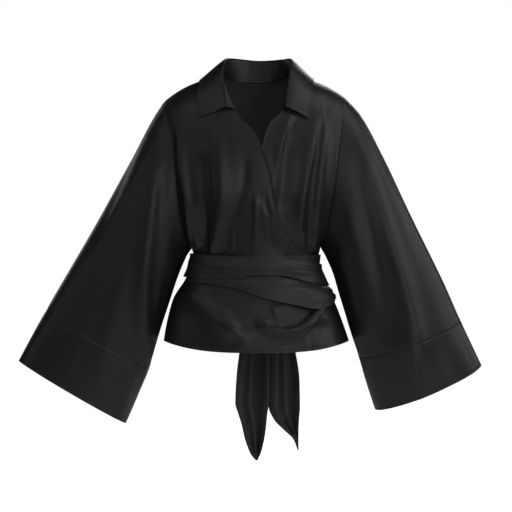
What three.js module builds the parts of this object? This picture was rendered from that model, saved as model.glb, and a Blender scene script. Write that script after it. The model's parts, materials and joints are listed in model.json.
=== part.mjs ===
// Wrap top: a woven blouse whose right front laps over the left one, with a turned-down collar, wide
// sleeves with deep hem bands, and a long sash that is wound round the waist and tied at the back.
// It keeps the round form that it has on a wearer, and it is hollow. Millimetres, +Z up.
// The front faces -Y. Left and right are those of a viewer in front, so left is -X.
// The origin is the middle of the neck's base, where the wearer's shoulders carry the garment.
import * as THREE from 'three';

// Cloth and seams
const CLOTH = 1.5;
const SEAM = 0.3;
const LAP = 2.3;
const DEGREE = Math.PI / 180;

// Levels of the body, given by the height of its side or armhole seam
const HEM_LEVEL = -529;
const UNDERARM_LEVEL = -338;
const SHOULDER_LEVEL = -41;
const HEM_ROWS = 8;
const ARMHOLE_ROWS = 12;
const ARMHOLE_FRONT = 66;
const ARMHOLE_BACK = 62;
const UNDERARM_SOFT = 90;

// Inner ends of the shoulder seams and the back of the neck
const NECK_LEFT = -72;
const NECK_RIGHT = 68;
const NECK_BACK = 55;

// Sections of the body: the seam's height, the height at the middle, half widths at the seams, depths
// at the middle, and how far each quarter turns towards the side, in degrees
const BODY = [
  { side: -529, mid: -550, left: 190, right: 188, front: 126, back: 124, turn: 90 },
  { side: -490, mid: -508, left: 183, right: 175, front: 121, back: 117, turn: 90 },
  { side: -447, mid: -460, left: 171, right: 158, front: 113, back: 108, turn: 90 },
  { side: -406, mid: -414, left: 146, right: 134, front: 103, back: 97, turn: 90 },
  { side: -380, mid: -385, left: 134, right: 124, front: 99, back: 92, turn: 90 },
  { side: -356, mid: -358, left: 129, right: 126, front: 97, back: 90, turn: 90 },
  { side: -338, mid: -339, left: 132, right: 130, front: 98, back: 91, turn: 90 },
  { side: -310, mid: -309, left: 145, right: 141, front: 103, back: 96, turn: 80 },
  { side: -270, mid: -268, left: 154, right: 149, front: 110, back: 103, turn: 70 },
  { side: -220, mid: -217, left: 161, right: 157, front: 114, back: 109, turn: 64 },
  { side: -170, mid: -164, left: 165, right: 163, front: 111, back: 112, turn: 60 },
  { side: -125, mid: -112, left: 171, right: 168, front: 101, back: 111, turn: 60 },
  { side: -90, mid: -66, left: 180, right: 173, front: 84, back: 103, turn: 60 },
  { side: -66, mid: -28, left: 186, right: 177, front: 64, back: 86, turn: 60 },
  { side: -50, mid: -2, left: 189, right: 179, front: 39, back: 58, turn: 60 },
  { side: -43, mid: 10, left: 190, right: 180, front: 16, back: 26, turn: 60 },
  { side: -41, mid: 14, left: 190, right: 180, front: 0, back: 0, turn: 60 },
];

// Free edges of the two fronts, from the corner that is drawn up to the side, to the shoulder seam
const OVER_EDGE = [
  { z: -462, x: 150 },
  { z: -440, x: 146 },
  { z: -415, x: 132 },
  { z: -385, x: 112 },
  { z: -342, x: 78 },
  { z: -306, x: 53 },
  { z: -257, x: 39 },
  { z: -201, x: 29 },
  { z: -148, x: 13 },
  { z: -116, x: 0 },
  { z: -99, x: -12 },
  { z: -83, x: -30 },
  { z: -66, x: -40 },
  { z: -38, x: -54 },
  { z: -10, x: -66 },
  { z: 11, x: NECK_LEFT },
];
const UNDER_EDGE = [
  { z: -440, x: -112 },
  { z: -385, x: -88 },
  { z: -342, x: -62 },
  { z: -306, x: -44 },
  { z: -257, x: -26 },
  { z: -201, x: -6 },
  { z: -148, x: 8 },
  { z: -116, x: 16 },
  { z: -88, x: 27 },
  { z: -68, x: 48 },
  { z: -38, x: 56 },
  { z: -10, x: 62 },
  { z: 11, x: NECK_RIGHT },
];

// How high the fronts' hems are drawn up towards those corners, and the level where that ends
const OVER_HEM = [
  { x: 14, lift: 0 },
  { x: 56, lift: 10 },
  { x: 88, lift: 22 },
  { x: 118, lift: 41 },
  { x: 141, lift: 65 },
  { x: 150, lift: 84 },
];
const UNDER_HEM = [
  { x: -112, lift: 100 },
  { x: -96, lift: 60 },
  { x: -60, lift: 26 },
  { x: -10, lift: 0 },
];
const HEM_SWEEP_TOP = -385;

// Folds of the body: the line that each follows, seen from the front or back, its half width and height
const OVER_FOLDS = [
  { path: [[-139, -120], [-136, -180], [-130, -240], [-124, -330]], width: 9, rise: 6 },
  { path: [[-106, -150], [-104, -230], [-106, -330]], width: 12, rise: -4 },
  { path: [[-66, -165], [-58, -210], [-62, -270], [-74, -340]], width: 17, rise: 6 },
  { path: [[-24, -230], [-24, -335]], width: 12, rise: -4 },
  { path: [[-2, -240], [-4, -335]], width: 9, rise: 4 },
  { path: [[22, -235], [32, -285], [40, -335]], width: 7, rise: 3 },
  { path: [[-140, -416], [-108, -447], [-66, -488], [-20, -520]], width: 17, rise: 8 },
  { path: [[-62, -450], [-56, -480], [-34, -510]], width: 12, rise: 5 },
  { path: [[-90, -420], [-30, -450], [10, -478]], width: 15, rise: -3 },
  { path: [[-16, -474], [14, -500], [52, -509], [86, -499], [110, -482], [126, -466]], width: 11, rise: 11 },
  { path: [[30, -460], [44, -488]], width: 8, rise: 4 },
  { path: [[60, -470], [92, -462], [122, -446]], width: 12, rise: -2 },
  { path: [[24, -530], [78, -518], [118, -492], [140, -462]], width: 9, rise: 5 },
];
const UNDER_FOLDS = [
  { path: [[73, -75], [60, -120], [34, -190]], width: 8, rise: 5 },
  { path: [[128, -75], [112, -130], [104, -190], [92, -260], [82, -335]], width: 8, rise: 6 },
  { path: [[92, -110], [84, -180], [70, -250]], width: 12, rise: -4 },
  { path: [[146, -60], [144, -125], [138, -200], [128, -270], [126, -335]], width: 8, rise: 6 },
  { path: [[122, -150], [116, -230], [108, -300]], width: 9, rise: -4 },
  { path: [[116, -308], [110, -345]], width: 5, rise: 3 },
  { path: [[150, -545], [156, -520], [156, -490]], width: 12, rise: 4 },
];
const BACK_FOLDS = [
  { path: [[-128, -120], [-118, -210], [-96, -335]], width: 13, rise: 7 },
  { path: [[-84, -150], [-78, -240], [-64, -335]], width: 13, rise: 6 },
  { path: [[-30, -190], [-30, -335]], width: 14, rise: 6 },
  { path: [[22, -170], [24, -335]], width: 12, rise: 7 },
  { path: [[72, -140], [66, -240], [56, -335]], width: 14, rise: 6 },
  { path: [[124, -110], [116, -210], [96, -335]], width: 12, rise: 7 },
  { path: [[-100, -160], [-96, -240], [-80, -335]], width: 9, rise: -4 },
  { path: [[96, -150], [92, -240], [78, -335]], width: 9, rise: -4 },
  { path: [[-110, -405], [-132, -480], [-142, -540]], width: 15, rise: 8 },
  { path: [[-60, -405], [-72, -480], [-78, -545]], width: 14, rise: 8 },
  { path: [[-14, -405], [-16, -480], [-18, -545]], width: 14, rise: 7 },
  { path: [[66, -405], [78, -480], [86, -545]], width: 15, rise: 8 },
  { path: [[106, -405], [124, -480], [134, -540]], width: 13, rise: 7 },
];

// Sleeves: the outer and inner outline seen from the front, the half depth of the tube, and how far its
// front hangs lower than a straight line. Station 0.8 is the seam of the hem band.
const CUFF_SEAM = 0.8;
const SLEEVE_LEFT = [
  { at: 0, outerX: -190, outerZ: -41, innerX: -132, innerZ: -338, depth: 64, dip: 0 },
  { at: 0.06, outerX: -210, outerZ: -72, innerX: -145, innerZ: -357, depth: 66, dip: 0 },
  { at: 0.24, outerX: -257, outerZ: -160, innerX: -162, innerZ: -397, depth: 68, dip: 1 },
  { at: 0.44, outerX: -319, outerZ: -274, innerX: -183, innerZ: -460, depth: 66, dip: 3 },
  { at: 0.65, outerX: -387, outerZ: -391, innerX: -206, innerZ: -532, depth: 62, dip: 5 },
  { at: 0.8, outerX: -431, outerZ: -467, innerX: -221, innerZ: -582, depth: 58, dip: 7 },
  { at: 0.9, outerX: -460, outerZ: -519, innerX: -244, innerZ: -640, depth: 54, dip: 4 },
  { at: 1, outerX: -488, outerZ: -571, innerX: -269, innerZ: -699, depth: 50, dip: 0 },
];
const SLEEVE_RIGHT = [
  { at: 0, outerX: 180, outerZ: -33, innerX: 130, innerZ: -338, depth: 64, dip: 0 },
  { at: 0.06, outerX: 210, outerZ: -66, innerX: 141, innerZ: -357, depth: 66, dip: 0 },
  { at: 0.24, outerX: 256, outerZ: -150, innerX: 157, innerZ: -394, depth: 68, dip: 2 },
  { at: 0.44, outerX: 313, outerZ: -270, innerX: 173, innerZ: -448, depth: 67, dip: 4 },
  { at: 0.65, outerX: 377, outerZ: -401, innerX: 192, innerZ: -510, depth: 64, dip: 8 },
  { at: 0.8, outerX: 416, outerZ: -489, innerX: 209, innerZ: -562, depth: 61, dip: 11 },
  { at: 0.9, outerX: 438, outerZ: -535, innerX: 225, innerZ: -617, depth: 58, dip: 12 },
  { at: 1, outerX: 459, outerZ: -579, innerX: 242, innerZ: -670, depth: 54, dip: 12 },
];

// Folds along the sleeves: where round the tube they lie (0 is the inner edge, 90 the front, 180 the
// outer edge, 270 the back), their half width in degrees, their stretch and their height
const SLEEVE_LEFT_FOLDS = [
  { around: 62, width: 13, from: 0.02, to: 0.98, rise: 8 },
  { around: 95, width: 12, from: 0.05, to: 0.6, rise: -5 },
  { around: 128, width: 15, from: 0.1, to: 0.95, rise: 6 },
  { around: 232, width: 14, from: 0.05, to: 0.95, rise: 7 },
  { around: 268, width: 12, from: 0.1, to: 0.7, rise: -5 },
  { around: 302, width: 14, from: 0.02, to: 0.9, rise: 7 },
];
const SLEEVE_RIGHT_FOLDS = [
  { around: 48, width: 12, from: 0.05, to: 0.9, rise: 5 },
  { around: 76, width: 12, from: 0.05, to: 0.8, rise: -5 },
  { around: 108, width: 15, from: 0.02, to: 0.98, rise: 7 },
  { around: 236, width: 15, from: 0.05, to: 0.95, rise: 7 },
  { around: 270, width: 12, from: 0.1, to: 0.8, rise: -5 },
  { around: 304, width: 13, from: 0.05, to: 0.9, rise: 7 },
];

// Collar: where the stand ends in front, its upper edge, and the fall's outer edge. Points of the outer
// edge lie on the body's front or back, moved out.
const STAND_END_LEVEL = -88;
const STAND_TOP = [
  { x: -61, y: -88, z: -58 },
  { x: -67, y: -62, z: -14 },
  { x: -69, y: -34, z: 22 },
  { x: -64, y: -4, z: 43 },
  { x: -51, y: 36, z: 49 },
  { x: -28, y: 58, z: 49 },
  { x: 0, y: 65, z: 47 },
  { x: 28, y: 58, z: 47 },
  { x: 53, y: 36, z: 47 },
  { x: 68, y: -4, z: 43 },
  { x: 67, y: -34, z: 22 },
  { x: 62, y: -62, z: -14 },
  { x: 56, y: -87, z: -58 },
];
const FALL_EDGE = [
  { x: -115, z: -78, face: -1 },
  { x: -118, z: -52, face: -1 },
  { x: -119, z: -24, face: -1 },
  { x: -116, z: -4, face: -1 },
  { x: -115, z: -5, face: 1 },
  { x: -98, z: -18, face: 1 },
  { x: -54, z: -24, face: 1 },
  { x: 0, z: -26, face: 1 },
  { x: 54, z: -24, face: 1 },
  { x: 95, z: -16, face: 1 },
  { x: 113, z: -2, face: 1 },
  { x: 114, z: -1, face: -1 },
  { x: 113, z: -24, face: -1 },
  { x: 108, z: -52, face: -1 },
  { x: 102, z: -80, face: -1 },
];
const FALL_CLEAR = 5;

// Sash: each stretch by its angle round the body (0 front, 90 right, -90 left, 180 back), its upper and
// lower edge, how far it stands off the body, its pleats' height, and how far its upper edge is tucked in
const SASH_FRONT = [
  { angle: -179.2, top: -367, bottom: -391, lift: 14, pleat: 1.5 },
  { angle: -170, top: -361, bottom: -394, lift: 9, pleat: 2 },
  { angle: -150, top: -354, bottom: -396, lift: 7, pleat: 2 },
  { angle: -90, top: -350, bottom: -402, lift: 8, pleat: 0.8 },
  { angle: -45, top: -353, bottom: -404, lift: 9, pleat: 2 },
  { angle: -14, top: -358, bottom: -403, lift: 10, pleat: 2.5 },
  { angle: -2, top: -359, bottom: -396, lift: 12, pleat: 2.5 },
  { angle: 14, top: -362, bottom: -396, lift: 13, pleat: 3 },
  { angle: 45, top: -367, bottom: -411, lift: 11, pleat: 3 },
  { angle: 62, top: -370, bottom: -418, lift: 10.5, pleat: 1.8 },
  { angle: 76, top: -372, bottom: -422, lift: 9.5, pleat: 1 },
  { angle: 90, top: -374, bottom: -419, lift: 8.5, pleat: 0.8 },
  { angle: 130, top: -367, bottom: -407, lift: 7.5, pleat: 2 },
  { angle: 146, top: -364, bottom: -394, lift: 12, pleat: 2 },
  { angle: 159.2, top: -361, bottom: -379, lift: 20, pleat: 1.5 },
];
const SASH_UNDER = [
  { angle: 2, top: -360, bottom: -380, lift: 5.9, pleat: 0 },
  { angle: 20, top: -356, bottom: -386, lift: 5.9, pleat: 0 },
  { angle: 50, top: -354, bottom: -390, lift: 5.2, pleat: 0 },
  { angle: 90, top: -353, bottom: -392, lift: 4, pleat: 0 },
  { angle: 140, top: -356, bottom: -392, lift: 3.5, pleat: 0 },
];
const SASH_FOLD = [
  { angle: -74, top: -394, bottom: -410, lift: 5.4, pleat: 0, tuck: 0 },
  { angle: -40, top: -396, bottom: -414, lift: 6, pleat: 0.5, tuck: 0 },
  { angle: -15, top: -398, bottom: -424, lift: 7.2, pleat: 1.5, tuck: 0 },
  { angle: 2, top: -404, bottom: -440, lift: 9, pleat: 3, tuck: 1 },
  { angle: 14, top: -406, bottom: -449, lift: 10.5, pleat: 3.3, tuck: 2 },
  { angle: 27, top: -402, bottom: -457, lift: 12, pleat: 3.5, tuck: 4 },
  { angle: 45, top: -404, bottom: -466, lift: 13.5, pleat: 4, tuck: 7.2 },
  { angle: 62, top: -411, bottom: -459, lift: 13, pleat: 3, tuck: 7.6 },
  { angle: 76, top: -421, bottom: -446, lift: 10, pleat: 1.4, tuck: 3.5 },
];
const SASH_TIE = [
  { angle: 77, top: -426, bottom: -447, lift: 7.6, pleat: 2 },
  { angle: 100, top: -422, bottom: -446, lift: 6.4, pleat: 2 },
  { angle: 128, top: -412, bottom: -438, lift: 6.6, pleat: 3 },
  { angle: 146, top: -398, bottom: -419, lift: 11, pleat: 3 },
  { angle: 159.2, top: -381.5, bottom: -398, lift: 20, pleat: 2 },
];

// Knot and tails at the back
const KNOT = { x: 22, z: -380, wide: 46, tall: 44, deep: 13, clear: 2.9, rounds: 16, rows: 6 };
const KNOT_RADIUS = 125;
const KNOT_PINCH = 0.9;
const KNOT_PLEAT = 0.06;
const TAIL_LEFT = [
  { z: -401.3, left: 10, right: 22, y: 116.5 },
  { z: -430, left: -8, right: 23, y: 121 },
  { z: -480, left: -26, right: 25, y: 130 },
  { z: -550, left: -36, right: 26.5, y: 139 },
  { z: -620, left: -44, right: 26.5, y: 139 },
  { z: -668, left: -46, right: 25.5, y: 138 },
  { z: -690, left: -40, right: 22, y: 138 },
  { z: -712, left: -33, right: 20, y: 138 },
  { z: -742, left: -26, right: 16, y: 137 },
  { z: -775, left: -14, right: 8, y: 136 },
  { z: -790, left: -3, right: 1, y: 136 },
];
const TAIL_RIGHT = [
  { z: -401.3, left: 24.5, right: 37, y: 116.5 },
  { z: -430, left: 25, right: 52, y: 121 },
  { z: -480, left: 25.5, right: 68, y: 130 },
  { z: -550, left: 24.5, right: 80, y: 139 },
  { z: -620, left: 24.5, right: 90, y: 139 },
  { z: -676, left: 25, right: 91, y: 138.5 },
  { z: -703, left: 36, right: 89, y: 138 },
  { z: -726, left: 58, right: 88, y: 137 },
  { z: -745, left: 77, right: 88, y: 137 },
  { z: -768, left: 86, right: 88.5, y: 137 },
];

// Monotone curve through one column of a table, so that nothing swells between two rows
function slopes(table, key, column) {
  const steps = table.slice(1).map((row, i) => {
    const last = table[i];
    return (row[column] - last[column]) / (row[key] - last[key]);
  });
  const inner = steps.slice(1).map((step, i) => {
    const before = steps[i];
    return before * step <= 0 ? 0 : (2 * before * step) / (before + step);
  });
  return [steps[0], ...inner, steps[steps.length - 1]];
}

const slopeStore = new Map();
function columnAt(table, key, column, at) {
  if (!slopeStore.has(table)) slopeStore.set(table, {});
  const store = slopeStore.get(table);
  if (!store[column]) store[column] = slopes(table, key, column);
  const last = table.length - 1;
  const place = THREE.MathUtils.clamp(at, table[0][key], table[last][key]);
  let i = 0;
  while (i < last - 1 && place > table[i + 1][key]) i += 1;
  const span = table[i + 1][key] - table[i][key];
  const t = (place - table[i][key]) / span;
  const rest = 1 - t;
  const start = table[i][column] * (1 + 2 * t) * rest * rest + store[column][i] * span * t * rest * rest;
  const end = table[i + 1][column] * t * t * (3 - 2 * t) - store[column][i + 1] * span * t * t * rest;
  return start + end;
}

function smooth(value, low, high) {
  const t = THREE.MathUtils.clamp((value - low) / (high - low), 0, 1);
  return t * t * (3 - 2 * t);
}

// How far the armhole seam lies in front of or behind the side line
function armholeReach(side, face) {
  const middle = (UNDERARM_LEVEL + SHOULDER_LEVEL) / 2;
  const half = (SHOULDER_LEVEL - UNDERARM_LEVEL) / 2;
  const share = Math.min(1, Math.abs((side - middle) / half));
  return (face < 0 ? ARMHOLE_FRONT : ARMHOLE_BACK) * Math.sqrt(1 - share * share);
}

// A point of the body: u runs from -1 at the left seam to 1 at the right one, face is -1 or 1
// Between the seams the armholes' depth comes in slowly above the underarm, so that no shelf forms there
function bodyAt(u, side, face) {
  const turn = columnAt(BODY, 'side', 'turn', side) * DEGREE;
  const half = columnAt(BODY, 'side', u < 0 ? 'left' : 'right', side);
  const depth = columnAt(BODY, 'side', face < 0 ? 'front' : 'back', side);
  const mid = columnAt(BODY, 'side', 'mid', side);
  const soft = smooth(side, UNDERARM_LEVEL, UNDERARM_LEVEL + UNDERARM_SOFT);
  const reach = armholeReach(side, face) * THREE.MathUtils.lerp(u * u, 1, soft);
  const x = (half * Math.sin(u * turn)) / Math.sin(turn);
  const bulge = (Math.cos(u * turn) - Math.cos(turn)) / (1 - Math.cos(turn));
  const drop = Math.abs(x / columnAt(BODY, 'side', 'left', side)) ** 3;
  return new THREE.Vector3(x, face * (reach + (depth - reach) * bulge), mid + (side - mid) * drop);
}

function bodyNormal(u, side, face) {
  const du = 0.01;
  const ds = 0.5;
  const highest = Math.min(side + ds, SHOULDER_LEVEL);
  const lowest = Math.max(side - ds, HEM_LEVEL);
  const across = bodyAt(Math.min(u + du, 1), side, face).sub(bodyAt(Math.max(u - du, -1), side, face));
  const up = bodyAt(u, highest, face).sub(bodyAt(u, lowest, face));
  return across.cross(up).multiplyScalar(-face).normalize();
}

function uAtX(x, side) {
  const turn = columnAt(BODY, 'side', 'turn', side) * DEGREE;
  const half = columnAt(BODY, 'side', x < 0 ? 'left' : 'right', side);
  const sine = THREE.MathUtils.clamp((x / half) * Math.sin(turn), -Math.sin(turn), Math.sin(turn));
  return Math.asin(sine) / turn;
}

// The level whose line passes a given height at a given place across
const SEARCH_STEPS = 30;
function levelAtHeight(x, z, face) {
  let low = HEM_LEVEL;
  let high = SHOULDER_LEVEL;
  for (let i = 0; i < SEARCH_STEPS; i += 1) {
    const level = (low + high) / 2;
    if (bodyAt(uAtX(x, level), level, face).z < z) low = level;
    else high = level;
  }
  return (low + high) / 2;
}

function edgeU(edge, side) {
  let u = 0;
  for (let i = 0; i < 12; i += 1) {
    u = uAtX(columnAt(edge, 'z', 'x', bodyAt(u, side, -1).z), side);
  }
  return u;
}

// Height of all folds of a table at a place seen from the front or back
function foldHeight(folds, x, z) {
  let height = 0;
  for (const fold of folds) {
    let nearest = Infinity;
    let along = 0;
    const parts = fold.path.length - 1;
    for (let i = 0; i < parts; i += 1) {
      const [ax, az] = fold.path[i];
      const [bx, bz] = fold.path[i + 1];
      const length2 = (bx - ax) ** 2 + (bz - az) ** 2;
      const raw = ((x - ax) * (bx - ax) + (z - az) * (bz - az)) / length2;
      const t = THREE.MathUtils.clamp(raw, 0, 1);
      const gap = Math.hypot(x - ax - t * (bx - ax), z - az - t * (bz - az));
      if (gap < nearest) {
        nearest = gap;
        along = (i + t) / parts;
      }
    }
    const ends = smooth(along, -0.05, 0.3) * smooth(1 - along, -0.12, 0.1);
    height += fold.rise * ends * Math.exp(-((nearest / fold.width) ** 2));
  }
  return height;
}

// A closed wall of cloth round a grid of { point, normal }, open or closed in its columns
function wall(grid, closed = false, thickness = CLOTH) {
  const rows = grid.length;
  const columns = grid[0].length;
  const positions = [];
  for (const side of [0.5, -0.5]) {
    for (const row of grid) {
      for (const { point, normal } of row) {
        positions.push(...point.clone().addScaledVector(normal, side * thickness).toArray());
      }
    }
  }
  const outer = (r, c) => r * columns + (c % columns);
  const inner = (r, c) => rows * columns + outer(r, c);
  const faces = [];
  const quad = (a, b, c, d) => faces.push(a, b, c, a, c, d);
  const lastColumn = closed ? columns : columns - 1;
  for (let c = 0; c < lastColumn; c += 1) {
    for (let r = 0; r < rows - 1; r += 1) {
      quad(outer(r, c), outer(r, c + 1), outer(r + 1, c + 1), outer(r + 1, c));
      quad(inner(r, c), inner(r + 1, c), inner(r + 1, c + 1), inner(r, c + 1));
    }
    quad(outer(0, c + 1), outer(0, c), inner(0, c), inner(0, c + 1));
    quad(outer(rows - 1, c), outer(rows - 1, c + 1), inner(rows - 1, c + 1), inner(rows - 1, c));
  }
  for (let r = 0; r < rows - 1 && !closed; r += 1) {
    quad(outer(r, 0), outer(r + 1, 0), inner(r + 1, 0), inner(r, 0));
    quad(outer(r + 1, columns - 1), outer(r, columns - 1), inner(r, columns - 1), inner(r + 1, columns - 1));
  }
  return facingOut(positions, faces);
}

function facingOut(positions, faces) {
  let volume = 0;
  for (let i = 0; i < faces.length; i += 3) {
    const [a, b, c] = [0, 1, 2].map((k) => new THREE.Vector3().fromArray(positions, faces[i + k] * 3));
    volume += a.dot(b.cross(c));
  }
  if (volume < 0) faces.reverse();
  const geometry = new THREE.BufferGeometry();
  geometry.setAttribute('position', new THREE.Float32BufferAttribute(positions, 3));
  geometry.setIndex(faces);
  geometry.computeVertexNormals();
  return geometry;
}

// Draws the outer points of a grid back along the cloth, to leave the gap of a seam
function drawBack(cells, amount) {
  for (const [edge, next] of cells) {
    const step = next.point.clone().sub(edge.point).setLength(amount);
    edge.point.add(step);
  }
}

function seamBack(grid, sides, amount = SEAM / 2) {
  const last = grid.length - 1;
  const end = grid[0].length - 1;
  if (sides.includes('first')) drawBack(grid.map((row) => [row[0], row[1]]), amount);
  if (sides.includes('last')) drawBack(grid.map((row) => [row[end], row[end - 1]]), amount);
  if (sides.includes('bottom')) drawBack(grid[0].map((cell, c) => [cell, grid[1][c]]), amount);
  if (sides.includes('top')) drawBack(grid[last].map((cell, c) => [cell, grid[last - 1][c]]), amount);
}

// Normals of a grid of points, from its own neighbours
function withNormals(points, closed = false) {
  const columns = points[0].length;
  return points.map((row, r) => row.map((point, c) => {
    const above = points[Math.min(r + 1, points.length - 1)][c];
    const below = points[Math.max(r - 1, 0)][c];
    const next = closed ? row[(c + 1) % columns] : row[Math.min(c + 1, columns - 1)];
    const before = closed ? row[(c + columns - 1) % columns] : row[Math.max(c - 1, 0)];
    const normal = next.clone().sub(before).cross(above.clone().sub(below)).normalize();
    return { point: point.clone(), normal };
  }));
}

// Levels of the body's rows: even below the underarm, closer at both ends of the armhole
function bodyLevels() {
  const levels = [];
  for (let i = 0; i < HEM_ROWS; i += 1) {
    levels.push(THREE.MathUtils.lerp(HEM_LEVEL, UNDERARM_LEVEL, i / HEM_ROWS));
  }
  for (let i = 0; i <= ARMHOLE_ROWS; i += 1) {
    const share = (1 - Math.cos((Math.PI * i) / ARMHOLE_ROWS)) / 2;
    levels.push(THREE.MathUtils.lerp(UNDERARM_LEVEL, SHOULDER_LEVEL, share));
  }
  return levels;
}

// Folds of the fronts where they lie on each other: the upper one has ridges alone, the lower one is flat
function overRise(x, z) {
  const height = foldHeight(OVER_FOLDS, x, z);
  const alone = smooth(columnAt(UNDER_EDGE, 'z', 'x', z) - x, 0, 20);
  return height < 0 ? height * alone : height;
}

function underRise(x, z) {
  return foldHeight(UNDER_FOLDS, x, z) * smooth(x - columnAt(OVER_EDGE, 'z', 'x', z), 10, 38);
}

// The two fronts: the side of the seam, the free edge, the folds, and how far each lies off the body
const OVER = { sign: -1, edge: OVER_EDGE, hem: OVER_HEM, rise: overRise, lap: LAP, columns: 20 };
const UNDER = { sign: 1, edge: UNDER_EDGE, hem: UNDER_HEM, rise: underRise, lap: -0.7, columns: 16 };

// A point of a front with its folds, a share of the way from its seam to its free edge
function frontAt({ sign, edge, hem, rise, lap }, share, level) {
  const u = THREE.MathUtils.lerp(sign, edgeU(edge, level), share);
  const sweep = THREE.MathUtils.clamp((HEM_SWEEP_TOP - level) / (HEM_SWEEP_TOP - HEM_LEVEL), 0, 1);
  const side = level + columnAt(hem, 'x', 'lift', bodyAt(u, level, -1).x) * sweep;
  const point = bodyAt(u, side, -1);
  const normal = bodyNormal(u, side, -1);
  const fromSeam = smooth(Math.abs(u - sign), 0.02, 0.3);
  const fromShoulder = smooth(SHOULDER_LEVEL - side, 2, 40);
  const height = lap + rise(point.x, point.z);
  point.addScaledVector(normal, height * fromSeam * fromShoulder);
  return { point, normal };
}

function frontGrid(front) {
  const columns = Array.from({ length: front.columns + 1 }, (_, i) => i / front.columns);
  const grid = bodyLevels().map((side) => columns.map((share) => frontAt(front, share, side)));
  seamBack(grid, ['first', 'top']);
  return grid;
}

// The level of the back's upper edge: the shoulder seams, and the neckline between them
function backTop(u) {
  const x = bodyAt(u, SHOULDER_LEVEL, 1).x;
  const width = x < 0 ? -NECK_LEFT : NECK_RIGHT;
  if (Math.abs(x) >= width) return SHOULDER_LEVEL;
  const depth = NECK_BACK * Math.sqrt(1 - (x / width) ** 2);
  let low = SHOULDER_LEVEL - 30;
  let high = SHOULDER_LEVEL;
  for (let i = 0; i < SEARCH_STEPS; i += 1) {
    const level = (low + high) / 2;
    if (bodyAt(u, level, 1).y > depth) low = level;
    else high = level;
  }
  return (low + high) / 2;
}

const SHOULDER_COLUMNS = 7;
const NECK_COLUMNS = 10;
function backColumns() {
  const left = uAtX(NECK_LEFT, SHOULDER_LEVEL);
  const right = uAtX(NECK_RIGHT, SHOULDER_LEVEL);
  const places = [];
  for (let i = 0; i < SHOULDER_COLUMNS; i += 1) {
    places.push(THREE.MathUtils.lerp(1, right, i / SHOULDER_COLUMNS));
  }
  for (let i = 0; i < NECK_COLUMNS; i += 1) {
    const share = (1 - Math.cos((Math.PI * i) / NECK_COLUMNS)) / 2;
    places.push(THREE.MathUtils.lerp(right, left, share));
  }
  for (let i = 0; i <= SHOULDER_COLUMNS; i += 1) {
    places.push(THREE.MathUtils.lerp(left, -1, i / SHOULDER_COLUMNS));
  }
  return places;
}

function backGrid() {
  const columns = backColumns();
  const grid = bodyLevels().map((level) => columns.map((u) => {
    const share = smooth(level, UNDERARM_LEVEL, SHOULDER_LEVEL);
    const side = level + (backTop(u) - SHOULDER_LEVEL) * share;
    const point = bodyAt(u, side, 1);
    const normal = bodyNormal(u, side, 1);
    const fromSeam = smooth(1 - Math.abs(u), 0.02, 0.25) * smooth(SHOULDER_LEVEL - side, 2, 40);
    point.addScaledVector(normal, foldHeight(BACK_FOLDS, point.x, point.z) * fromSeam);
    return { point, normal };
  }));
  seamBack(grid, ['first', 'last', 'top']);
  return grid;
}

// The armhole seam as a ring: from the underarm up the front, over the shoulder and down the back
function armholeRing(sign) {
  const levels = bodyLevels().slice(HEM_ROWS);
  const cell = (side, face) => ({ point: bodyAt(sign, side, face), normal: bodyNormal(sign, side, face) });
  const front = levels.map((side) => cell(side, -1));
  const back = levels.map((side) => cell(side, 1));
  return [...front, ...back.reverse().slice(1, -1)];
}

function sleeveSection(table, at, angle) {
  const value = (column) => columnAt(table, 'at', column, at);
  const outer = new THREE.Vector3(value('outerX'), 0, value('outerZ'));
  const inner = new THREE.Vector3(value('innerX'), 0, value('innerZ'));
  const middle = outer.clone().add(inner).multiplyScalar(0.5);
  const half = outer.clone().sub(inner).multiplyScalar(0.5);
  const down = new THREE.Vector3(-half.z, 0, half.x).normalize();
  if (down.z > 0) down.negate();
  return middle
    .addScaledVector(half, -Math.cos(angle))
    .addScaledVector(down, value('dip') * Math.sin(angle))
    .add(new THREE.Vector3(0, -value('depth') * Math.sin(angle), 0));
}

function sleeveFold(folds, at, angle) {
  let height = 0;
  for (const fold of folds) {
    const away = (angle / DEGREE - fold.around) / fold.width;
    const ends = smooth(at, fold.from, fold.from + 0.2) * smooth(fold.to - at, -0.02, 0.2);
    height += fold.rise * ends * Math.exp(-away * away);
  }
  return height;
}

const SLEEVE_ROWS = 12;
const CUFF_ROWS = 3;
const RING_FADE = 0.3;
function sleeveGrid(sign, table, folds, from, to, rows) {
  const ring = armholeRing(sign);
  const around = ring.length;
  const points = [];
  for (let r = 0; r <= rows; r += 1) {
    const at = THREE.MathUtils.lerp(from, to, r / rows);
    const fade = 1 - smooth(at, 0, RING_FADE);
    points.push(ring.map((seam, j) => {
      const angle = (2 * Math.PI * j) / around;
      const rest = seam.point.clone().sub(sleeveSection(table, 0, angle));
      return sleeveSection(table, at, angle).addScaledVector(rest, fade);
    }));
  }
  const grid = withNormals(points, true);
  const flip = grid[0][Math.round(around / 4)].normal.y > 0 ? -1 : 1;
  grid.forEach((row, r) => row.forEach((cell, j) => {
    cell.normal.multiplyScalar(flip);
    const at = THREE.MathUtils.lerp(from, to, r / rows);
    cell.point.addScaledVector(cell.normal, sleeveFold(folds, at, (2 * Math.PI * j) / around));
  }));
  return grid;
}

// The sleeve's first ring stands off the armhole, more so at the underarm where two walls meet in a V
const SLEEVE_BACK = 0.55;
const UNDERARM_BACK = 1.7;
function setIntoArmhole(grid, sign) {
  const ring = armholeRing(sign);
  grid[0].forEach((cell, j) => {
    const low = ((1 + Math.cos((2 * Math.PI * j) / ring.length)) / 2) ** 2;
    const along = grid[1][j].point.clone().sub(cell.point).setLength(SLEEVE_BACK);
    cell.point.copy(ring[j].point).add(along).addScaledVector(ring[j].normal, UNDERARM_BACK * low);
  });
}

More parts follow.
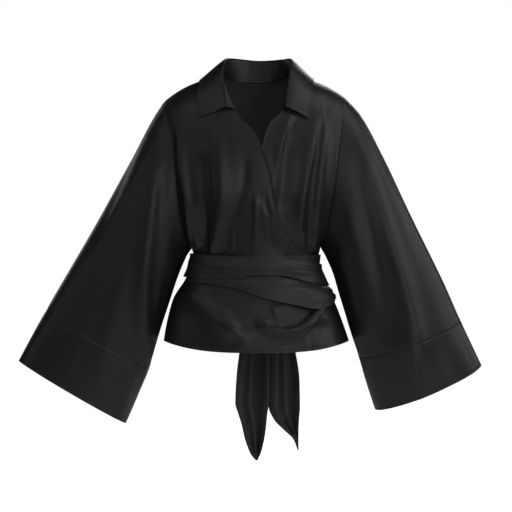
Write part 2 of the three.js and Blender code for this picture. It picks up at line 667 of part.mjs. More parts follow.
function sleeveWalls(sign, table, folds) {
  const sleeve = sleeveGrid(sign, table, folds, 0, CUFF_SEAM, SLEEVE_ROWS);
  setIntoArmhole(sleeve, sign);
  seamBack(sleeve, ['top']);
  const cuff = sleeveGrid(sign, table, folds, CUFF_SEAM, 1, CUFF_ROWS);
  seamBack(cuff, ['bottom']);
  return [wall(sleeve, true), wall(cuff, true)];
}

function curveOf(points) {
  return new THREE.CatmullRomCurve3(points, false, 'centripetal');
}

// The neckline from the left front end of the stand, round the back, to the right front end
const STAND_OFF = 2;
const NECK_STEPS = 8;
function neckline() {
  const points = [];
  const frontPart = (front) => Array.from({ length: NECK_STEPS }, (_, i) => {
    const share = 1 - (1 - i / NECK_STEPS) ** 2;
    const side = THREE.MathUtils.lerp(STAND_END_LEVEL, SHOULDER_LEVEL, share);
    const { point, normal } = frontAt(front, 1, side);
    return point.addScaledVector(normal, STAND_OFF * smooth(SHOULDER_LEVEL - side, 0, 30));
  });
  points.push(...frontPart(OVER));
  const left = uAtX(NECK_LEFT, SHOULDER_LEVEL);
  const right = uAtX(NECK_RIGHT, SHOULDER_LEVEL);
  for (let i = 0; i <= NECK_COLUMNS; i += 1) {
    const share = (1 - Math.cos((Math.PI * i) / NECK_COLUMNS)) / 2;
    const u = THREE.MathUtils.lerp(left, right, share);
    points.push(bodyAt(u, backTop(u), 1));
  }
  points.push(...frontPart(UNDER).reverse());
  return curveOf(points);
}

const STAND_LIFT = 2.4;
const STAND_ROWS = 3;
const COLLAR_COLUMNS = 28;
function standGrid() {
  const seam = neckline();
  const top = curveOf(STAND_TOP.map(({ x, y, z }) => new THREE.Vector3(x, y, z)));
  const points = [];
  for (let r = 0; r <= STAND_ROWS; r += 1) {
    points.push(Array.from({ length: COLLAR_COLUMNS + 1 }, (_, i) => {
      const share = i / COLLAR_COLUMNS;
      const upper = top.getPointAt(share);
      const foot = seam.getPointAt(share);
      const rise = upper.clone().sub(foot).normalize();
      foot.addScaledVector(rise, STAND_LIFT);
      return foot.lerp(upper, r / STAND_ROWS);
    }));
  }
  return withNormals(points);
}

function fallEdge() {
  return curveOf(FALL_EDGE.map(({ x, z, face }) => {
    const side = levelAtHeight(x, z, face);
    const u = uAtX(x, side);
    return bodyAt(u, side, face).addScaledVector(bodyNormal(u, side, face), FALL_CLEAR);
  }));
}

const FALL_ROWS = 6;
const FALL_LIFT = 1.7;
const ROLL_HEIGHT = 6.5;
const ROLL_REACH = 9;
const FALL_BULGE = 4;
function fallGrid() {
  const top = curveOf(STAND_TOP.map(({ x, y, z }) => new THREE.Vector3(x, y, z)));
  const edge = fallEdge();
  const seam = neckline();
  const points = Array.from({ length: FALL_ROWS + 1 }, () => []);
  for (let i = 0; i <= COLLAR_COLUMNS; i += 1) {
    const share = i / COLLAR_COLUMNS;
    const start = top.getPointAt(share);
    const rise = start.clone().sub(seam.getPointAt(share)).normalize();
    const end = edge.getPointAt(share);
    start.addScaledVector(rise, FALL_LIFT);
    const away = end.clone().sub(start);
    away.addScaledVector(rise, -away.dot(rise)).normalize();
    const curve = new THREE.CubicBezierCurve3(
      start,
      start.clone().addScaledVector(rise, ROLL_HEIGHT).addScaledVector(away, ROLL_REACH * 0.4),
      start.clone().lerp(end, 0.45).addScaledVector(rise, FALL_BULGE).addScaledVector(away, ROLL_REACH),
      end,
    );
    for (let r = 0; r <= FALL_ROWS; r += 1) points[r].push(curve.getPoint((r / FALL_ROWS) ** 1.3));
  }
  return withNormals(points);
}

// A point on the body at an angle round it and a height
function roundBody(angle, z) {
  const face = Math.abs(angle) <= 90 ? -1 : 1;
  const turned = face < 0 ? angle : Math.sign(angle) * (180 - Math.abs(angle));
  const u = turned / 90;
  let side = z;
  for (let i = 0; i < 6; i += 1) side += z - bodyAt(u, side, face).z;
  return { point: bodyAt(u, side, face), normal: bodyNormal(u, side, face) };
}

// A stretch of sash with soft pleats along it. Its upper edge is tucked in from this share of its width.
const TUCK_FROM = 0.55;
function sashGrid(table, { columns, rows, pleats }) {
  const first = table[0].angle;
  const last = table[table.length - 1].angle;
  const points = [];
  for (let r = 0; r <= rows; r += 1) {
    const w = r / rows;
    points.push(Array.from({ length: columns + 1 }, (_, i) => {
      const angle = THREE.MathUtils.lerp(first, last, i / columns);
      const value = (column) => columnAt(table, 'angle', column, angle);
      const z = THREE.MathUtils.lerp(value('bottom'), value('top'), w);
      const { point, normal } = roundBody(angle, z);
      const wave = 0.5 - 0.5 * Math.cos(2 * Math.PI * pleats * w);
      const tuck = (table[0].tuck === undefined ? 0 : value('tuck')) * smooth(w, TUCK_FROM, 1);
      return point.addScaledVector(normal, value('lift') + value('pleat') * wave - tuck);
    }));
  }
  return withNormals(points);
}

// A hanging tail: soft folds run down it and die out towards its tip
const LEFT_FALL = { folds: 1.1, rise: 6, shift: 0.4 };
const RIGHT_FALL = { folds: 1.16, rise: 6, shift: 0.245 };
const TAIL_COLUMNS = 8;
const TAIL_ROWS = 18;
function tailGrid(table, { folds, rise, shift }) {
  const top = table[0].z;
  const tip = table[table.length - 1].z;
  const rows = table.slice().reverse();
  const points = [];
  for (let r = 0; r <= TAIL_ROWS; r += 1) {
    const z = THREE.MathUtils.lerp(tip, top, (r / TAIL_ROWS) ** 1.15);
    const value = (column) => columnAt(rows, 'z', column, z);
    const width = value('right') - value('left');
    const strength = rise * smooth(width, 2, 40);
    points.push(Array.from({ length: TAIL_COLUMNS + 1 }, (_, i) => {
      const share = i / TAIL_COLUMNS;
      const wave = Math.cos(2 * Math.PI * (folds * share + shift));
      return new THREE.Vector3(value('left') + width * share, value('y') + strength * wave, z);
    }));
  }
  return withNormals(points);
}

// The knot: a turn of cloth round the crossing sash, open above and below
function knotGrid() {
  const { point, normal } = roundBody(180 - Math.asin(KNOT.x / KNOT_RADIUS) / DEGREE, KNOT.z);
  const middle = point.clone().addScaledVector(normal, KNOT.deep + KNOT.clear);
  const points = [];
  for (let r = 0; r <= KNOT.rows; r += 1) {
    const w = r / KNOT.rows - 0.5;
    const waist = 1 - KNOT_PINCH * w * w;
    points.push(Array.from({ length: KNOT.rounds }, (_, i) => {
      const angle = (2 * Math.PI * i) / KNOT.rounds;
      const pleat = 1 + KNOT_PLEAT * Math.cos(4 * angle + 3 * w);
      return new THREE.Vector3(
        middle.x + (KNOT.wide / 2) * Math.cos(angle) * waist * pleat,
        middle.y + KNOT.deep * Math.sin(angle) * waist * pleat,
        middle.z + KNOT.tall * w,
      );
    }));
  }
  return withNormals(points, true);
}

const top = new THREE.Group();
function addPiece(name, geometry, colour, roughness) {
  const material = new THREE.MeshStandardMaterial({ color: colour, roughness, metalness: 0 });
  const mesh = new THREE.Mesh(geometry, material);
  mesh.name = name;
  top.add(mesh);
}

const BODY_BLACK = 0x1d1d1f;
const SASH_BLACK = 0x222324;
const CLOTH_ROUGHNESS = 0.55;

addPiece('front_over', wall(frontGrid(OVER)), BODY_BLACK, CLOTH_ROUGHNESS);
addPiece('front_under', wall(frontGrid(UNDER)), BODY_BLACK, CLOTH_ROUGHNESS);
addPiece('back', wall(backGrid()), BODY_BLACK, CLOTH_ROUGHNESS);

const [leftSleeve, leftCuff] = sleeveWalls(-1, SLEEVE_LEFT, SLEEVE_LEFT_FOLDS);
const [rightSleeve, rightCuff] = sleeveWalls(1, SLEEVE_RIGHT, SLEEVE_RIGHT_FOLDS);
addPiece('sleeve_left', leftSleeve, BODY_BLACK, CLOTH_ROUGHNESS);
addPiece('cuff_left', leftCuff, BODY_BLACK, CLOTH_ROUGHNESS);
addPiece('sleeve_right', rightSleeve, BODY_BLACK, CLOTH_ROUGHNESS);
addPiece('cuff_right', rightCuff, BODY_BLACK, CLOTH_ROUGHNESS);

addPiece('collar_stand', wall(standGrid()), BODY_BLACK, CLOTH_ROUGHNESS);
addPiece('collar_fall', wall(fallGrid()), BODY_BLACK, CLOTH_ROUGHNESS);

const sashPieces = [
  ['sash_front', SASH_FRONT, { columns: 46, rows: 6, pleats: 1 }],
  ['sash_under', SASH_UNDER, { columns: 16, rows: 2, pleats: 0 }],
  ['sash_fold', SASH_FOLD, { columns: 22, rows: 8, pleats: 1 }],
  ['sash_tie', SASH_TIE, { columns: 12, rows: 6, pleats: 2 }],
];
for (const [name, table, options] of sashPieces) {
  addPiece(name, wall(sashGrid(table, options)), SASH_BLACK, CLOTH_ROUGHNESS);
}

addPiece('knot', wall(knotGrid(), true), SASH_BLACK, CLOTH_ROUGHNESS);
addPiece('tail_left', wall(tailGrid(TAIL_LEFT, LEFT_FALL)), SASH_BLACK, CLOTH_ROUGHNESS);
addPiece('tail_right', wall(tailGrid(TAIL_RIGHT, RIGHT_FALL)), SASH_BLACK, CLOTH_ROUGHNESS);

export default top;
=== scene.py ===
# %% [markdown]
# # A black wrap top
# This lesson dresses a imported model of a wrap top. The real one is sewn from a thin black woven cloth with
# a soft satin sheen: two fronts that lap over each other, a back, wide sleeves with deep hem bands, a
# turned-down collar and a long sash that is wound round the waist and knotted behind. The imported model
# gives the place and size of every piece. Here each piece is made again as a thin sheet.

# %% Load the frame
import json
import math

import bpy
import numpy as np
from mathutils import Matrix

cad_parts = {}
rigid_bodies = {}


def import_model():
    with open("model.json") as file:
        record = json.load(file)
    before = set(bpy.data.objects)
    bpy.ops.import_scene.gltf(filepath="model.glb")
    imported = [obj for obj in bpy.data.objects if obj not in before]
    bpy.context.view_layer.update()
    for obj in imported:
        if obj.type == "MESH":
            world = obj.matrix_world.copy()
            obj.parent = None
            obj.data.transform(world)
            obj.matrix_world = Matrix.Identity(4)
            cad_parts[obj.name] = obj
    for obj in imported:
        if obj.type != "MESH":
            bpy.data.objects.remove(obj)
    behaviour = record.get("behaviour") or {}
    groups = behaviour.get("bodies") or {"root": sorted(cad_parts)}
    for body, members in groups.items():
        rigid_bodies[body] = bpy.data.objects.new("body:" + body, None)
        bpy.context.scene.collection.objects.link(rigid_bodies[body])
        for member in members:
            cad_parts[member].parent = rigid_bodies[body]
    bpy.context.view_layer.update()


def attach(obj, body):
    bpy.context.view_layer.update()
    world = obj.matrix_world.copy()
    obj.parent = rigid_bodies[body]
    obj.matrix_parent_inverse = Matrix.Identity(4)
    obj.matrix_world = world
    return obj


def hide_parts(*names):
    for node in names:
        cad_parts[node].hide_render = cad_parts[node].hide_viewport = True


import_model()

# %% [markdown]
# ## Camera and floor
# The photograph was taken from straight ahead and far away, so a long lens from 4 m is right. One pixel of
# the 512 pixel picture is 2.05 mm at the garment. The floor is a wide pale plane under the sash ends.

# %% Camera and floor
MM = 0.001
PIXEL = 2.05 * MM
CAMERA_AWAY = 4.0
FLOOR_LEVEL = -1.02

camera_data = bpy.data.cameras.new("camera")
camera_data.sensor_width = 36
camera_data.lens = 36 * CAMERA_AWAY / (512 * PIXEL)
camera = bpy.data.objects.new("camera", camera_data)
camera.location = (-1 * PIXEL, -CAMERA_AWAY, (82 - 256) * PIXEL)
camera.rotation_euler = (math.pi / 2, 0, 0)
bpy.context.scene.collection.objects.link(camera)
bpy.context.scene.camera = camera

bpy.ops.object.select_all(action="DESELECT")
bpy.ops.mesh.primitive_plane_add(size=80, location=(0, 0, FLOOR_LEVEL))
floor = bpy.context.object
floor.name = "floor"
print("lens in mm:", round(camera_data.lens, 1))

# %% [markdown]
# ## Light
# The picture has soft, even light from all round, with more of it from the viewer's right. Large soft
# panels on a ring round the garment give that. A panel is given by its turn from the camera, its height and
# its power. The powers were found by rendering each panel alone and fitting the sum to the picture. The
# pale floor and the white surrounding only show in the camera; a low panel stands for the light that a
# floor throws back, so its strength can be set by itself.

# %% Light
MIDDLE = (0, 0, -0.35)
PANEL_AWAY = 3.4
PANEL_TINT = (0.97, 1.0, 0.985)


def soft_panel(name, turn, height, watts, size=(1.1, 1.6)):
    data = bpy.data.lights.new(name, "AREA")
    data.shape = "RECTANGLE"
    data.size, data.size_y = size
    data.energy = watts
    data.color = PANEL_TINT
    panel = bpy.data.objects.new(name, data)
    turn, height = math.radians(turn), math.radians(height)
    across, up = PANEL_AWAY * math.cos(height), PANEL_AWAY * math.sin(height)
    panel.location = (across * math.sin(turn), -across * math.cos(turn), MIDDLE[2] + up)
    panel.rotation_euler = (math.pi / 2 - height, 0, turn)
    bpy.context.scene.collection.objects.link(panel)
    return panel


PANELS = [
    ("left", -75, 15, 7), ("left_front", -35, 20, 8), ("front", 0, 10, 12), ("front_high", 0, 48, 9),
    ("right_front", 26, 4, 25), ("right_middle", 48, 28, 12), ("right", 76, 15, 25),
    ("right_back", 110, 20, 16), ("left_high", -55, 50, 10), ("right_high", 66, 52, 28), ("top", 0, 80, 9),
    ("back_left", -140, 20, 9), ("back_right", 160, 30, 24),
]
BOUNCE_WATTS, BOUNCE_SIZE = 25, (3, 3)
for row in PANELS:
    soft_panel(*row)

bounce = soft_panel("floor_bounce", 0, -90, BOUNCE_WATTS, BOUNCE_SIZE)
bounce.location = (0, 0, FLOOR_LEVEL + 0.02)
bounce.rotation_euler = (math.pi, 0, 0)
bounce.visible_camera = False

floor.visible_diffuse = False
floor.visible_glossy = False
world = bpy.data.worlds.new("studio")
world.use_nodes = True
world.node_tree.nodes["Background"].inputs["Color"].default_value = (1, 1, 1, 1)
world.node_tree.nodes["Background"].inputs["Strength"].default_value = 1.0
world.cycles_visibility.diffuse = False
world.cycles_visibility.glossy = False
bpy.context.scene.world = world
bpy.context.scene.view_settings.view_transform = "Standard"

# %% [markdown]
# ## Colours and materials
# The cloth is black satin-backed crepe of viscose, woven and dyed, about 0.3 mm thick. Its long floats give
# it a soft, broad sheen. Threads lie 0.25 mm apart; the weave is drawn four times as coarse, so that a
# close view shows it. The bump also has faint lines along the cloth, as a pressed and worn one has. So the
# eye gets a black with broad, soft highlights on the folds. The reverse has no long floats, so it is matt;
# its paler colour is painted light that lifts the shade inside the garment. The sash is the same cloth,
# painted a little paler: a painted highlight for the light that its gathers catch.

# %% Materials
def linear(hexa):
    values = [int(hexa[i:i + 2], 16) / 255 for i in (1, 3, 5)]
    return tuple(v / 12.92 if v <= 0.04045 else ((v + 0.055) / 1.055) ** 2.4 for v in values) + (1.0,)


def add_node(tree, kind, settings=None, links=None, **inputs):
    node = tree.nodes.new(kind)
    for key, value in (settings or {}).items():
        setattr(node, key, value)
    for key, value in inputs.items():
        node.inputs[key.replace("_", " ")].default_value = value
    for key, socket in (links or {}).items():
        tree.links.new(socket, node.inputs[key])
    return node


WEAVE_SPACING = 1.0 * MM
PRESSED_LINES = 26 * MM
FINE_LINES = 5 * MM


def cloth_material(name, dark, light, roughness):
    material = bpy.data.materials.new(name)
    material.use_nodes = True
    tree = material.node_tree
    shader = tree.nodes["Principled BSDF"]
    uv = add_node(tree, "ShaderNodeUVMap", {"uv_map": "cloth"})
    threads = add_node(tree, "ShaderNodeMapping", links={"Vector": uv.outputs["UV"]},
                       Scale=(1 / WEAVE_SPACING, 1 / WEAVE_SPACING, 1))
    weave = add_node(tree, "ShaderNodeTexWave", {"wave_type": "BANDS", "bands_direction": "DIAGONAL"},
                     {"Vector": threads.outputs["Vector"]}, Scale=0.5, Distortion=0.6, Detail=1.0)
    lines = add_node(tree, "ShaderNodeMapping", links={"Vector": uv.outputs["UV"]},
                     Scale=(1 / PRESSED_LINES, 0.22 / PRESSED_LINES, 1))
    soft = add_node(tree, "ShaderNodeTexNoise", links={"Vector": lines.outputs["Vector"]},
                    Scale=1.0, Detail=3.0, Roughness=0.55)
    tone = add_node(tree, "ShaderNodeMix", {"data_type": "RGBA"}, {"Factor": soft.outputs["Fac"]})
    tone.inputs["A"].default_value = linear(dark)
    tone.inputs["B"].default_value = linear(light)
    broad = add_node(tree, "ShaderNodeBump", links={"Height": soft.outputs["Fac"]},
                     Strength=0.35, Distance=1.6 * MM)
    narrow = add_node(tree, "ShaderNodeMapping", links={"Vector": uv.outputs["UV"]},
                      Scale=(1 / FINE_LINES, 0.035 / FINE_LINES, 1))
    streaks = add_node(tree, "ShaderNodeTexNoise", links={"Vector": narrow.outputs["Vector"]},
                       Scale=1.0, Detail=2.0, Roughness=0.5)
    drawn = add_node(tree, "ShaderNodeBump",
                     links={"Height": streaks.outputs["Fac"], "Normal": broad.outputs["Normal"]},
                     Strength=0.3, Distance=0.5 * MM)
    fine = add_node(tree, "ShaderNodeBump",
                    links={"Height": weave.outputs["Fac"], "Normal": drawn.outputs["Normal"]},
                    Strength=0.22, Distance=0.12 * MM)
    tree.links.new(tone.outputs["Result"], shader.inputs["Base Color"])
    tree.links.new(fine.outputs["Normal"], shader.inputs["Normal"])
    shader.inputs["Roughness"].default_value = roughness
    shader.inputs["IOR"].default_value = 1.5
    shader.inputs["Specular IOR Level"].default_value = 0.2
    return material


def plain_material(name, colour, roughness):
    material = bpy.data.materials.new(name)
    material.use_nodes = True
    tree = material.node_tree
    shader = tree.nodes["Principled BSDF"]
    speckle = add_node(tree, "ShaderNodeTexNoise", Scale=900.0, Detail=2.0)
    relief = add_node(tree, "ShaderNodeBump", links={"Height": speckle.outputs["Fac"]},
                      Strength=0.1, Distance=0.1 * MM)
    tree.links.new(relief.outputs["Normal"], shader.inputs["Normal"])
    shader.inputs["Base Color"].default_value = linear(colour)
    shader.inputs["Roughness"].default_value = roughness
    return material


black_crepe = cloth_material("black_satin_crepe", "#121213", "#161617", 0.4)
# The reverse is matt; its paler colour is painted light that lifts the shade inside the garment.
crepe_reverse_painted_light = cloth_material("black_satin_crepe_reverse_painted_light", "#333434", "#393a3a", 0.7)
# The sash is the same cloth painted a little paler: a painted highlight for the light its gathers catch.
sash_crepe_painted_highlight = cloth_material("black_satin_crepe_sash_painted_highlight", "#181919", "#1c1d1d", 0.44)
pale_floor = plain_material("white_opal_acrylic_floor", "#f4f4f4", 0.8)
pale_shader = pale_floor.node_tree.nodes["Principled BSDF"]
pale_shader.inputs["Emission Color"].default_value = (1, 1, 1, 1)
pale_shader.inputs["Emission Strength"].default_value = 1.0
floor.data.materials.append(pale_floor)
print("materials:", [m.name for m in bpy.data.materials])

# %% [markdown]
# ## The figure's form
# A garment on a wearer is a set of rings, one above the other. The tables hold the real sizes in
# millimetres: the height of the side seam, the height at the middle, the half widths and the depths. A
# curve that never swells between two rows joins them, so the cloth stays smooth.

# %% Curves through tables
def table(columns, rows):
    data = np.array(sorted(rows), float)
    made = {name: data[:, i] for i, name in enumerate(columns.split())}
    made["key"] = data[:, 0]
    return made


def through(tab, column, at):
    x, y = tab["key"], tab[column]
    at = np.clip(at, x[0], x[-1])
    step = np.diff(y) / np.diff(x)
    product = step[:-1] * step[1:]
    both = np.where(product > 0, step[:-1] + step[1:], 1.0)
    slope = np.concatenate([step[:1], np.where(product > 0, 2 * product / both, 0.0), step[-1:]])
    i = np.clip(np.searchsorted(x, at, side="right") - 1, 0, len(x) - 2)
    span = x[i + 1] - x[i]
    t = (at - x[i]) / span
    r = 1 - t
    start = y[i] * (1 + 2 * t) * r * r + slope[i] * span * t * r * r
    return start + y[i + 1] * t * t * (3 - 2 * t) - slope[i + 1] * span * t * t * r


def smooth(value, low, high):
    t = np.clip((np.asarray(value, float) - low) / (high - low), 0, 1)
    return t * t * (3 - 2 * t)


def unit(vectors):
    return vectors / np.maximum(np.linalg.norm(vectors, axis=-1, keepdims=True), 1e-9)


BODY = table("side mid left right front back turn", [
    (-529, -550, 190, 188, 126, 124, 90), (-490, -508, 183, 175, 121, 117, 90),
    (-447, -460, 171, 158, 113, 108, 90), (-406, -414, 146, 134, 103, 97, 90),
    (-380, -385, 134, 124, 99, 92, 90), (-356, -358, 129, 126, 97, 90, 90),
    (-338, -339, 132, 130, 98, 91, 90), (-310, -309, 145, 141, 103, 96, 80),
    (-270, -268, 154, 149, 110, 103, 70), (-220, -217, 161, 157, 114, 109, 64),
    (-170, -164, 165, 163, 111, 112, 60), (-125, -112, 171, 168, 101, 111, 60),
    (-90, -66, 180, 173, 84, 103, 60), (-66, -28, 186, 177, 64, 86, 60),
    (-50, -2, 189, 179, 39, 58, 60), (-43, 10, 190, 180, 16, 26, 60), (-41, 14, 190, 180, 0, 0, 60),
])
print("rows of the body:", len(BODY["key"]))

# %% Points of the body
CLOTH = 1.0
SEAM = 0.3
HEM_LEVEL, UNDERARM_LEVEL, SHOULDER_LEVEL = -529, -338, -41
ARMHOLE_FRONT, ARMHOLE_BACK = 66, 62
UNDERARM_SOFT = 90
NECK_LEFT, NECK_RIGHT, NECK_BACK = -72, 68, 55
FRONT, REAR = -1, 1


def armhole_reach(side, face):
    middle = (UNDERARM_LEVEL + SHOULDER_LEVEL) / 2
    half = (SHOULDER_LEVEL - UNDERARM_LEVEL) / 2
    share = np.minimum(1, np.abs((side - middle) / half))
    return np.where(face < 0, ARMHOLE_FRONT, ARMHOLE_BACK) * np.sqrt(1 - share * share)


def body_at(u, side, face):
    u, side, face = np.broadcast_arrays(*(np.asarray(value, float) for value in (u, side, face)))
    turn = np.radians(through(BODY, "turn", side))
    half = np.where(u < 0, through(BODY, "left", side), through(BODY, "right", side))
    depth = np.where(face < 0, through(BODY, "front", side), through(BODY, "back", side))
    mid = through(BODY, "mid", side)
    soft = smooth(side, UNDERARM_LEVEL, UNDERARM_LEVEL + UNDERARM_SOFT)
    reach = armhole_reach(side, face) * (u * u + (1 - u * u) * soft)
    x = half * np.sin(u * turn) / np.sin(turn)
    bulge = (np.cos(u * turn) - np.cos(turn)) / (1 - np.cos(turn))
    drop = np.abs(x / through(BODY, "left", side)) ** 3
    return np.stack([x, face * (reach + (depth - reach) * bulge), mid + (side - mid) * drop], axis=-1)


def body_normal(u, side, face):
    across = body_at(np.minimum(u + 0.01, 1), side, face) - body_at(np.maximum(u - 0.01, -1), side, face)
    above, below = np.minimum(side + 0.5, SHOULDER_LEVEL), np.maximum(side - 0.5, HEM_LEVEL)
    up = body_at(u, above, face) - body_at(u, below, face)
    return unit(np.cross(across, up) * -np.asarray(face, float)[..., None])


def u_at_x(x, side):
    turn = np.radians(through(BODY, "turn", side))
    half = np.where(x < 0, through(BODY, "left", side), through(BODY, "right", side))
    return np.arcsin(np.clip(x / half * np.sin(turn), -np.sin(turn), np.sin(turn))) / turn


def edge_u(edge, side):
    u = np.zeros_like(side)
    for _ in range(12):
        u = u_at_x(through(edge, "x", body_at(u, side, FRONT)[..., 2]), side)
    return u


def level_at_height(x, z, face):
    low, high = float(HEM_LEVEL), float(SHOULDER_LEVEL)
    for _ in range(30):
        level = (low + high) / 2
        low, high = (level, high) if body_at(u_at_x(x, level), level, face)[2] < z else (low, level)
    return (low + high) / 2


print("half way up, in front:", body_at(0.0, -220.0, FRONT).round(1))

# %% [markdown]
# ## Folds
# The main creases of draped cloth are placed one by one. Each row gives a fold's height, its half width, how
# far it leans to one side, and the line that it follows, seen from the front. A fold swells in at its upper
# end and dies out at the other one. A little unevenness runs along the cloth, as no two folds of a real one
# are alike.

# %% Fold heights
def fold_height(folds, x, z):
    height = np.zeros_like(x)
    for rise, width, lean, path in folds:
        nearest = np.full_like(x, 1e9)
        along = np.zeros_like(x)
        offset = np.zeros_like(x)
        parts = len(path) - 1
        for i in range(parts):
            (ax, az), (bx, bz) = path[i], path[i + 1]
            dx, dz = bx - ax, bz - az
            t = np.clip(((x - ax) * dx + (z - az) * dz) / (dx * dx + dz * dz), 0, 1)
            gap = np.hypot(x - ax - t * dx, z - az - t * dz)
            closer = gap < nearest
            nearest = np.where(closer, gap, nearest)
            along = np.where(closer, (i + t) / parts, along)
            offset = np.where(closer, np.sign(dx * (z - az) - dz * (x - ax)), offset)
        ends = smooth(along, -0.05, 0.3) * smooth(1 - along, -0.12, 0.1)
        swell = 1 + 0.18 * np.sin(7 * along + rise + width)
        half = width * swell * (1 + 0.5 * lean * offset)
        height += rise * ends * np.exp(-((nearest / half) ** 2))
    return height


def unevenness(a, b):
    first = np.sin(a / 17 + 1.2 * np.sin(b / 83 + 0.7))
    second = np.sin(a / 8.3 + b / 97 + 2.1 + 0.8 * np.sin(b / 41))
    third = np.sin(b / 37 + a / 61 + 0.4)
    return 0.5 * first + 0.3 * second + 0.3 * third


OVER_FOLDS = [
    (10, 9, 0.2, [(-157, -100), (-150, -180), (-139, -240), (-129, -330)]),
    (-6, 12, 0, [(-110, -140), (-106, -230), (-104, -330)]),
    (10, 13, 0.1, [(-76, -110), (-70, -200), (-72, -270), (-84, -345)]),
    (-5, 15, 0, [(-24, -150), (-22, -335)]),
    (5.5, 8, -0.5, [(-4, -225), (-2, -280), (-4, -335)]),
    (3.5, 6, 0.4, [(22, -230), (32, -285), (40, -335)]),
    (1.6, 7, 0, [(4, -240), (12, -270), (18, -305)]),
    (1.2, 5, 0, [(10, -262), (24, -282), (34, -302)]),
    (3.8, 4.5, 0.4, [(-124, -300), (-119, -322), (-118, -346)]),
    (3.0, 5, -0.3, [(-92, -290), (-88, -346)]),
    (2.6, 4.5, 0.3, [(-48, -295), (-50, -346)]),
    (2.2, 4.5, 0, [(48, -300), (56, -346)]),
    (1.6, 5, 0.3, [(-92, -60), (-90, -150), (-86, -240)]),
    (9, 24, -0.2, [(-150, -413), (-122, -446), (-84, -483), (-40, -514)]),
    (4, 12, 0.3, [(-142, -416), (-114, -448), (-76, -486), (-30, -520)]),
    (3, 9, 0.3, [(-66, -446), (-60, -480), (-38, -512)]),
    (-7, 14, 0.4, [(-90, -428), (-42, -458), (-4, -486)]),
    (12, 9, -0.5, [(-16, -471), (4, -485), (26, -500), (52, -507), (80, -503), (100, -491), (122, -467),
                   (138, -445)]),
    (4.5, 7, 0.5, [(28, -456), (42, -486)]),
    (-4, 6, 0, [(16, -458), (34, -486)]),
    (-3, 9, 0, [(60, -476), (92, -468), (126, -446)]),
    (5, 9, 0, [(24, -530), (78, -518), (118, -492), (140, -462)]),
]
UNDER_FOLDS = [
    (6, 8, -0.4, [(72, -62), (53, -118), (33, -185)]),
    (8, 11, -0.5, [(134, -55), (111, -120), (101, -190), (91, -250), (79, -345)]),
    (-6, 14, 0.7, [(68, -100), (55, -180), (44, -265)]),
    (6, 9, 0.2, [(140, -40), (135, -110), (127, -190), (121, -260), (117, -345)]),
    (-2.5, 7, 0, [(120, -140), (112, -230), (104, -310)]),
    (3.5, 5, 0.3, [(116, -300), (110, -345)]),
    (3, 4.5, 0, [(96, -295), (92, -346)]),
    (2.4, 4.5, 0, [(66, -290), (66, -346)]),
    (-8, 26, 0.8, [(130, -478), (124, -520), (122, -560)]),
    (2, 8, -0.3, [(118, -480), (124, -505), (126, -535)]),
]
BACK_FOLDS = [
    (7, 13, 0.4, [(-128, -120), (-118, -210), (-96, -335)]),
    (6, 13, 0.3, [(-84, -150), (-78, -240), (-64, -335)]),
    (6, 14, -0.3, [(-30, -190), (-30, -335)]),
    (7, 12, 0.4, [(22, -170), (24, -335)]),
    (6, 14, -0.4, [(72, -140), (66, -240), (56, -335)]),
    (7, 12, 0.3, [(124, -110), (116, -210), (96, -335)]),
    (-4, 9, 0, [(-100, -160), (-96, -240), (-80, -335)]),
    (-4, 9, 0, [(96, -150), (92, -240), (78, -335)]),
    (2.4, 5, 0.3, [(-48, -290), (-46, -346)]),
    (2.6, 5, 0, [(44, -286), (40, -346)]),
    (2.2, 5, -0.3, [(-4, -295), (-2, -346)]),
    (8, 15, 0.3, [(-110, -405), (-132, -480), (-142, -540)]),
    (8, 14, -0.3, [(-60, -405), (-72, -480), (-78, -545)]),
    (7, 14, 0.4, [(-14, -405), (-16, -480), (-18, -545)]),
    (8, 15, -0.4, [(66, -405), (78, -480), (86, -545)]),
    (7, 13, 0.3, [(106, -405), (124, -480), (134, -540)]),
]
print("folds:", len(OVER_FOLDS), len(UNDER_FOLDS), len(BACK_FOLDS))

# %% [markdown]
# ## From a grid of points to a sheet of cloth
# A sheet starts as a grid of points, so its rows and columns run along the cloth as its threads do. A
# Solidify modifier gives it its thickness. The map that carries the weave is measured along the cloth in
# metres, so threads keep their size everywhere. Rows lie close together at an edge, where a seam or a
# stitched hem shows.

# %% Sheets
SHARP_ANGLE = math.radians(50)


def grid_normals(p, closed=False):
    if closed:
        across = np.roll(p, -1, 1) - np.roll(p, 1, 1)
    else:
        across = np.concatenate([p[:, 1:], p[:, -1:]], 1) - np.concatenate([p[:, :1], p[:, :-1]], 1)
    up = np.concatenate([p[1:], p[-1:]]) - np.concatenate([p[:1], p[:-1]])
    return unit(np.cross(across, up))


def cloth_lengths(p):
    across = np.linalg.norm(np.diff(p, axis=1), axis=2).cumsum(axis=1)
    up = np.linalg.norm(np.diff(p, axis=0), axis=2).cumsum(axis=0)
    u = np.concatenate([np.zeros((p.shape[0], 1)), across], 1)
    v = np.concatenate([np.zeros((1, p.shape[1])), up], 0)
    return u - u.mean(axis=1, keepdims=True), v


# Faces that look inward get the reverse, whose paler colour is painted light for the shaded inside.
def show_reverse(piece, material):
    piece.data.materials.append(material)
    for face in piece.data.polygons:
        if face.center.x * face.normal.x + face.center.y * face.normal.y < 0:
            face.material_index = 1


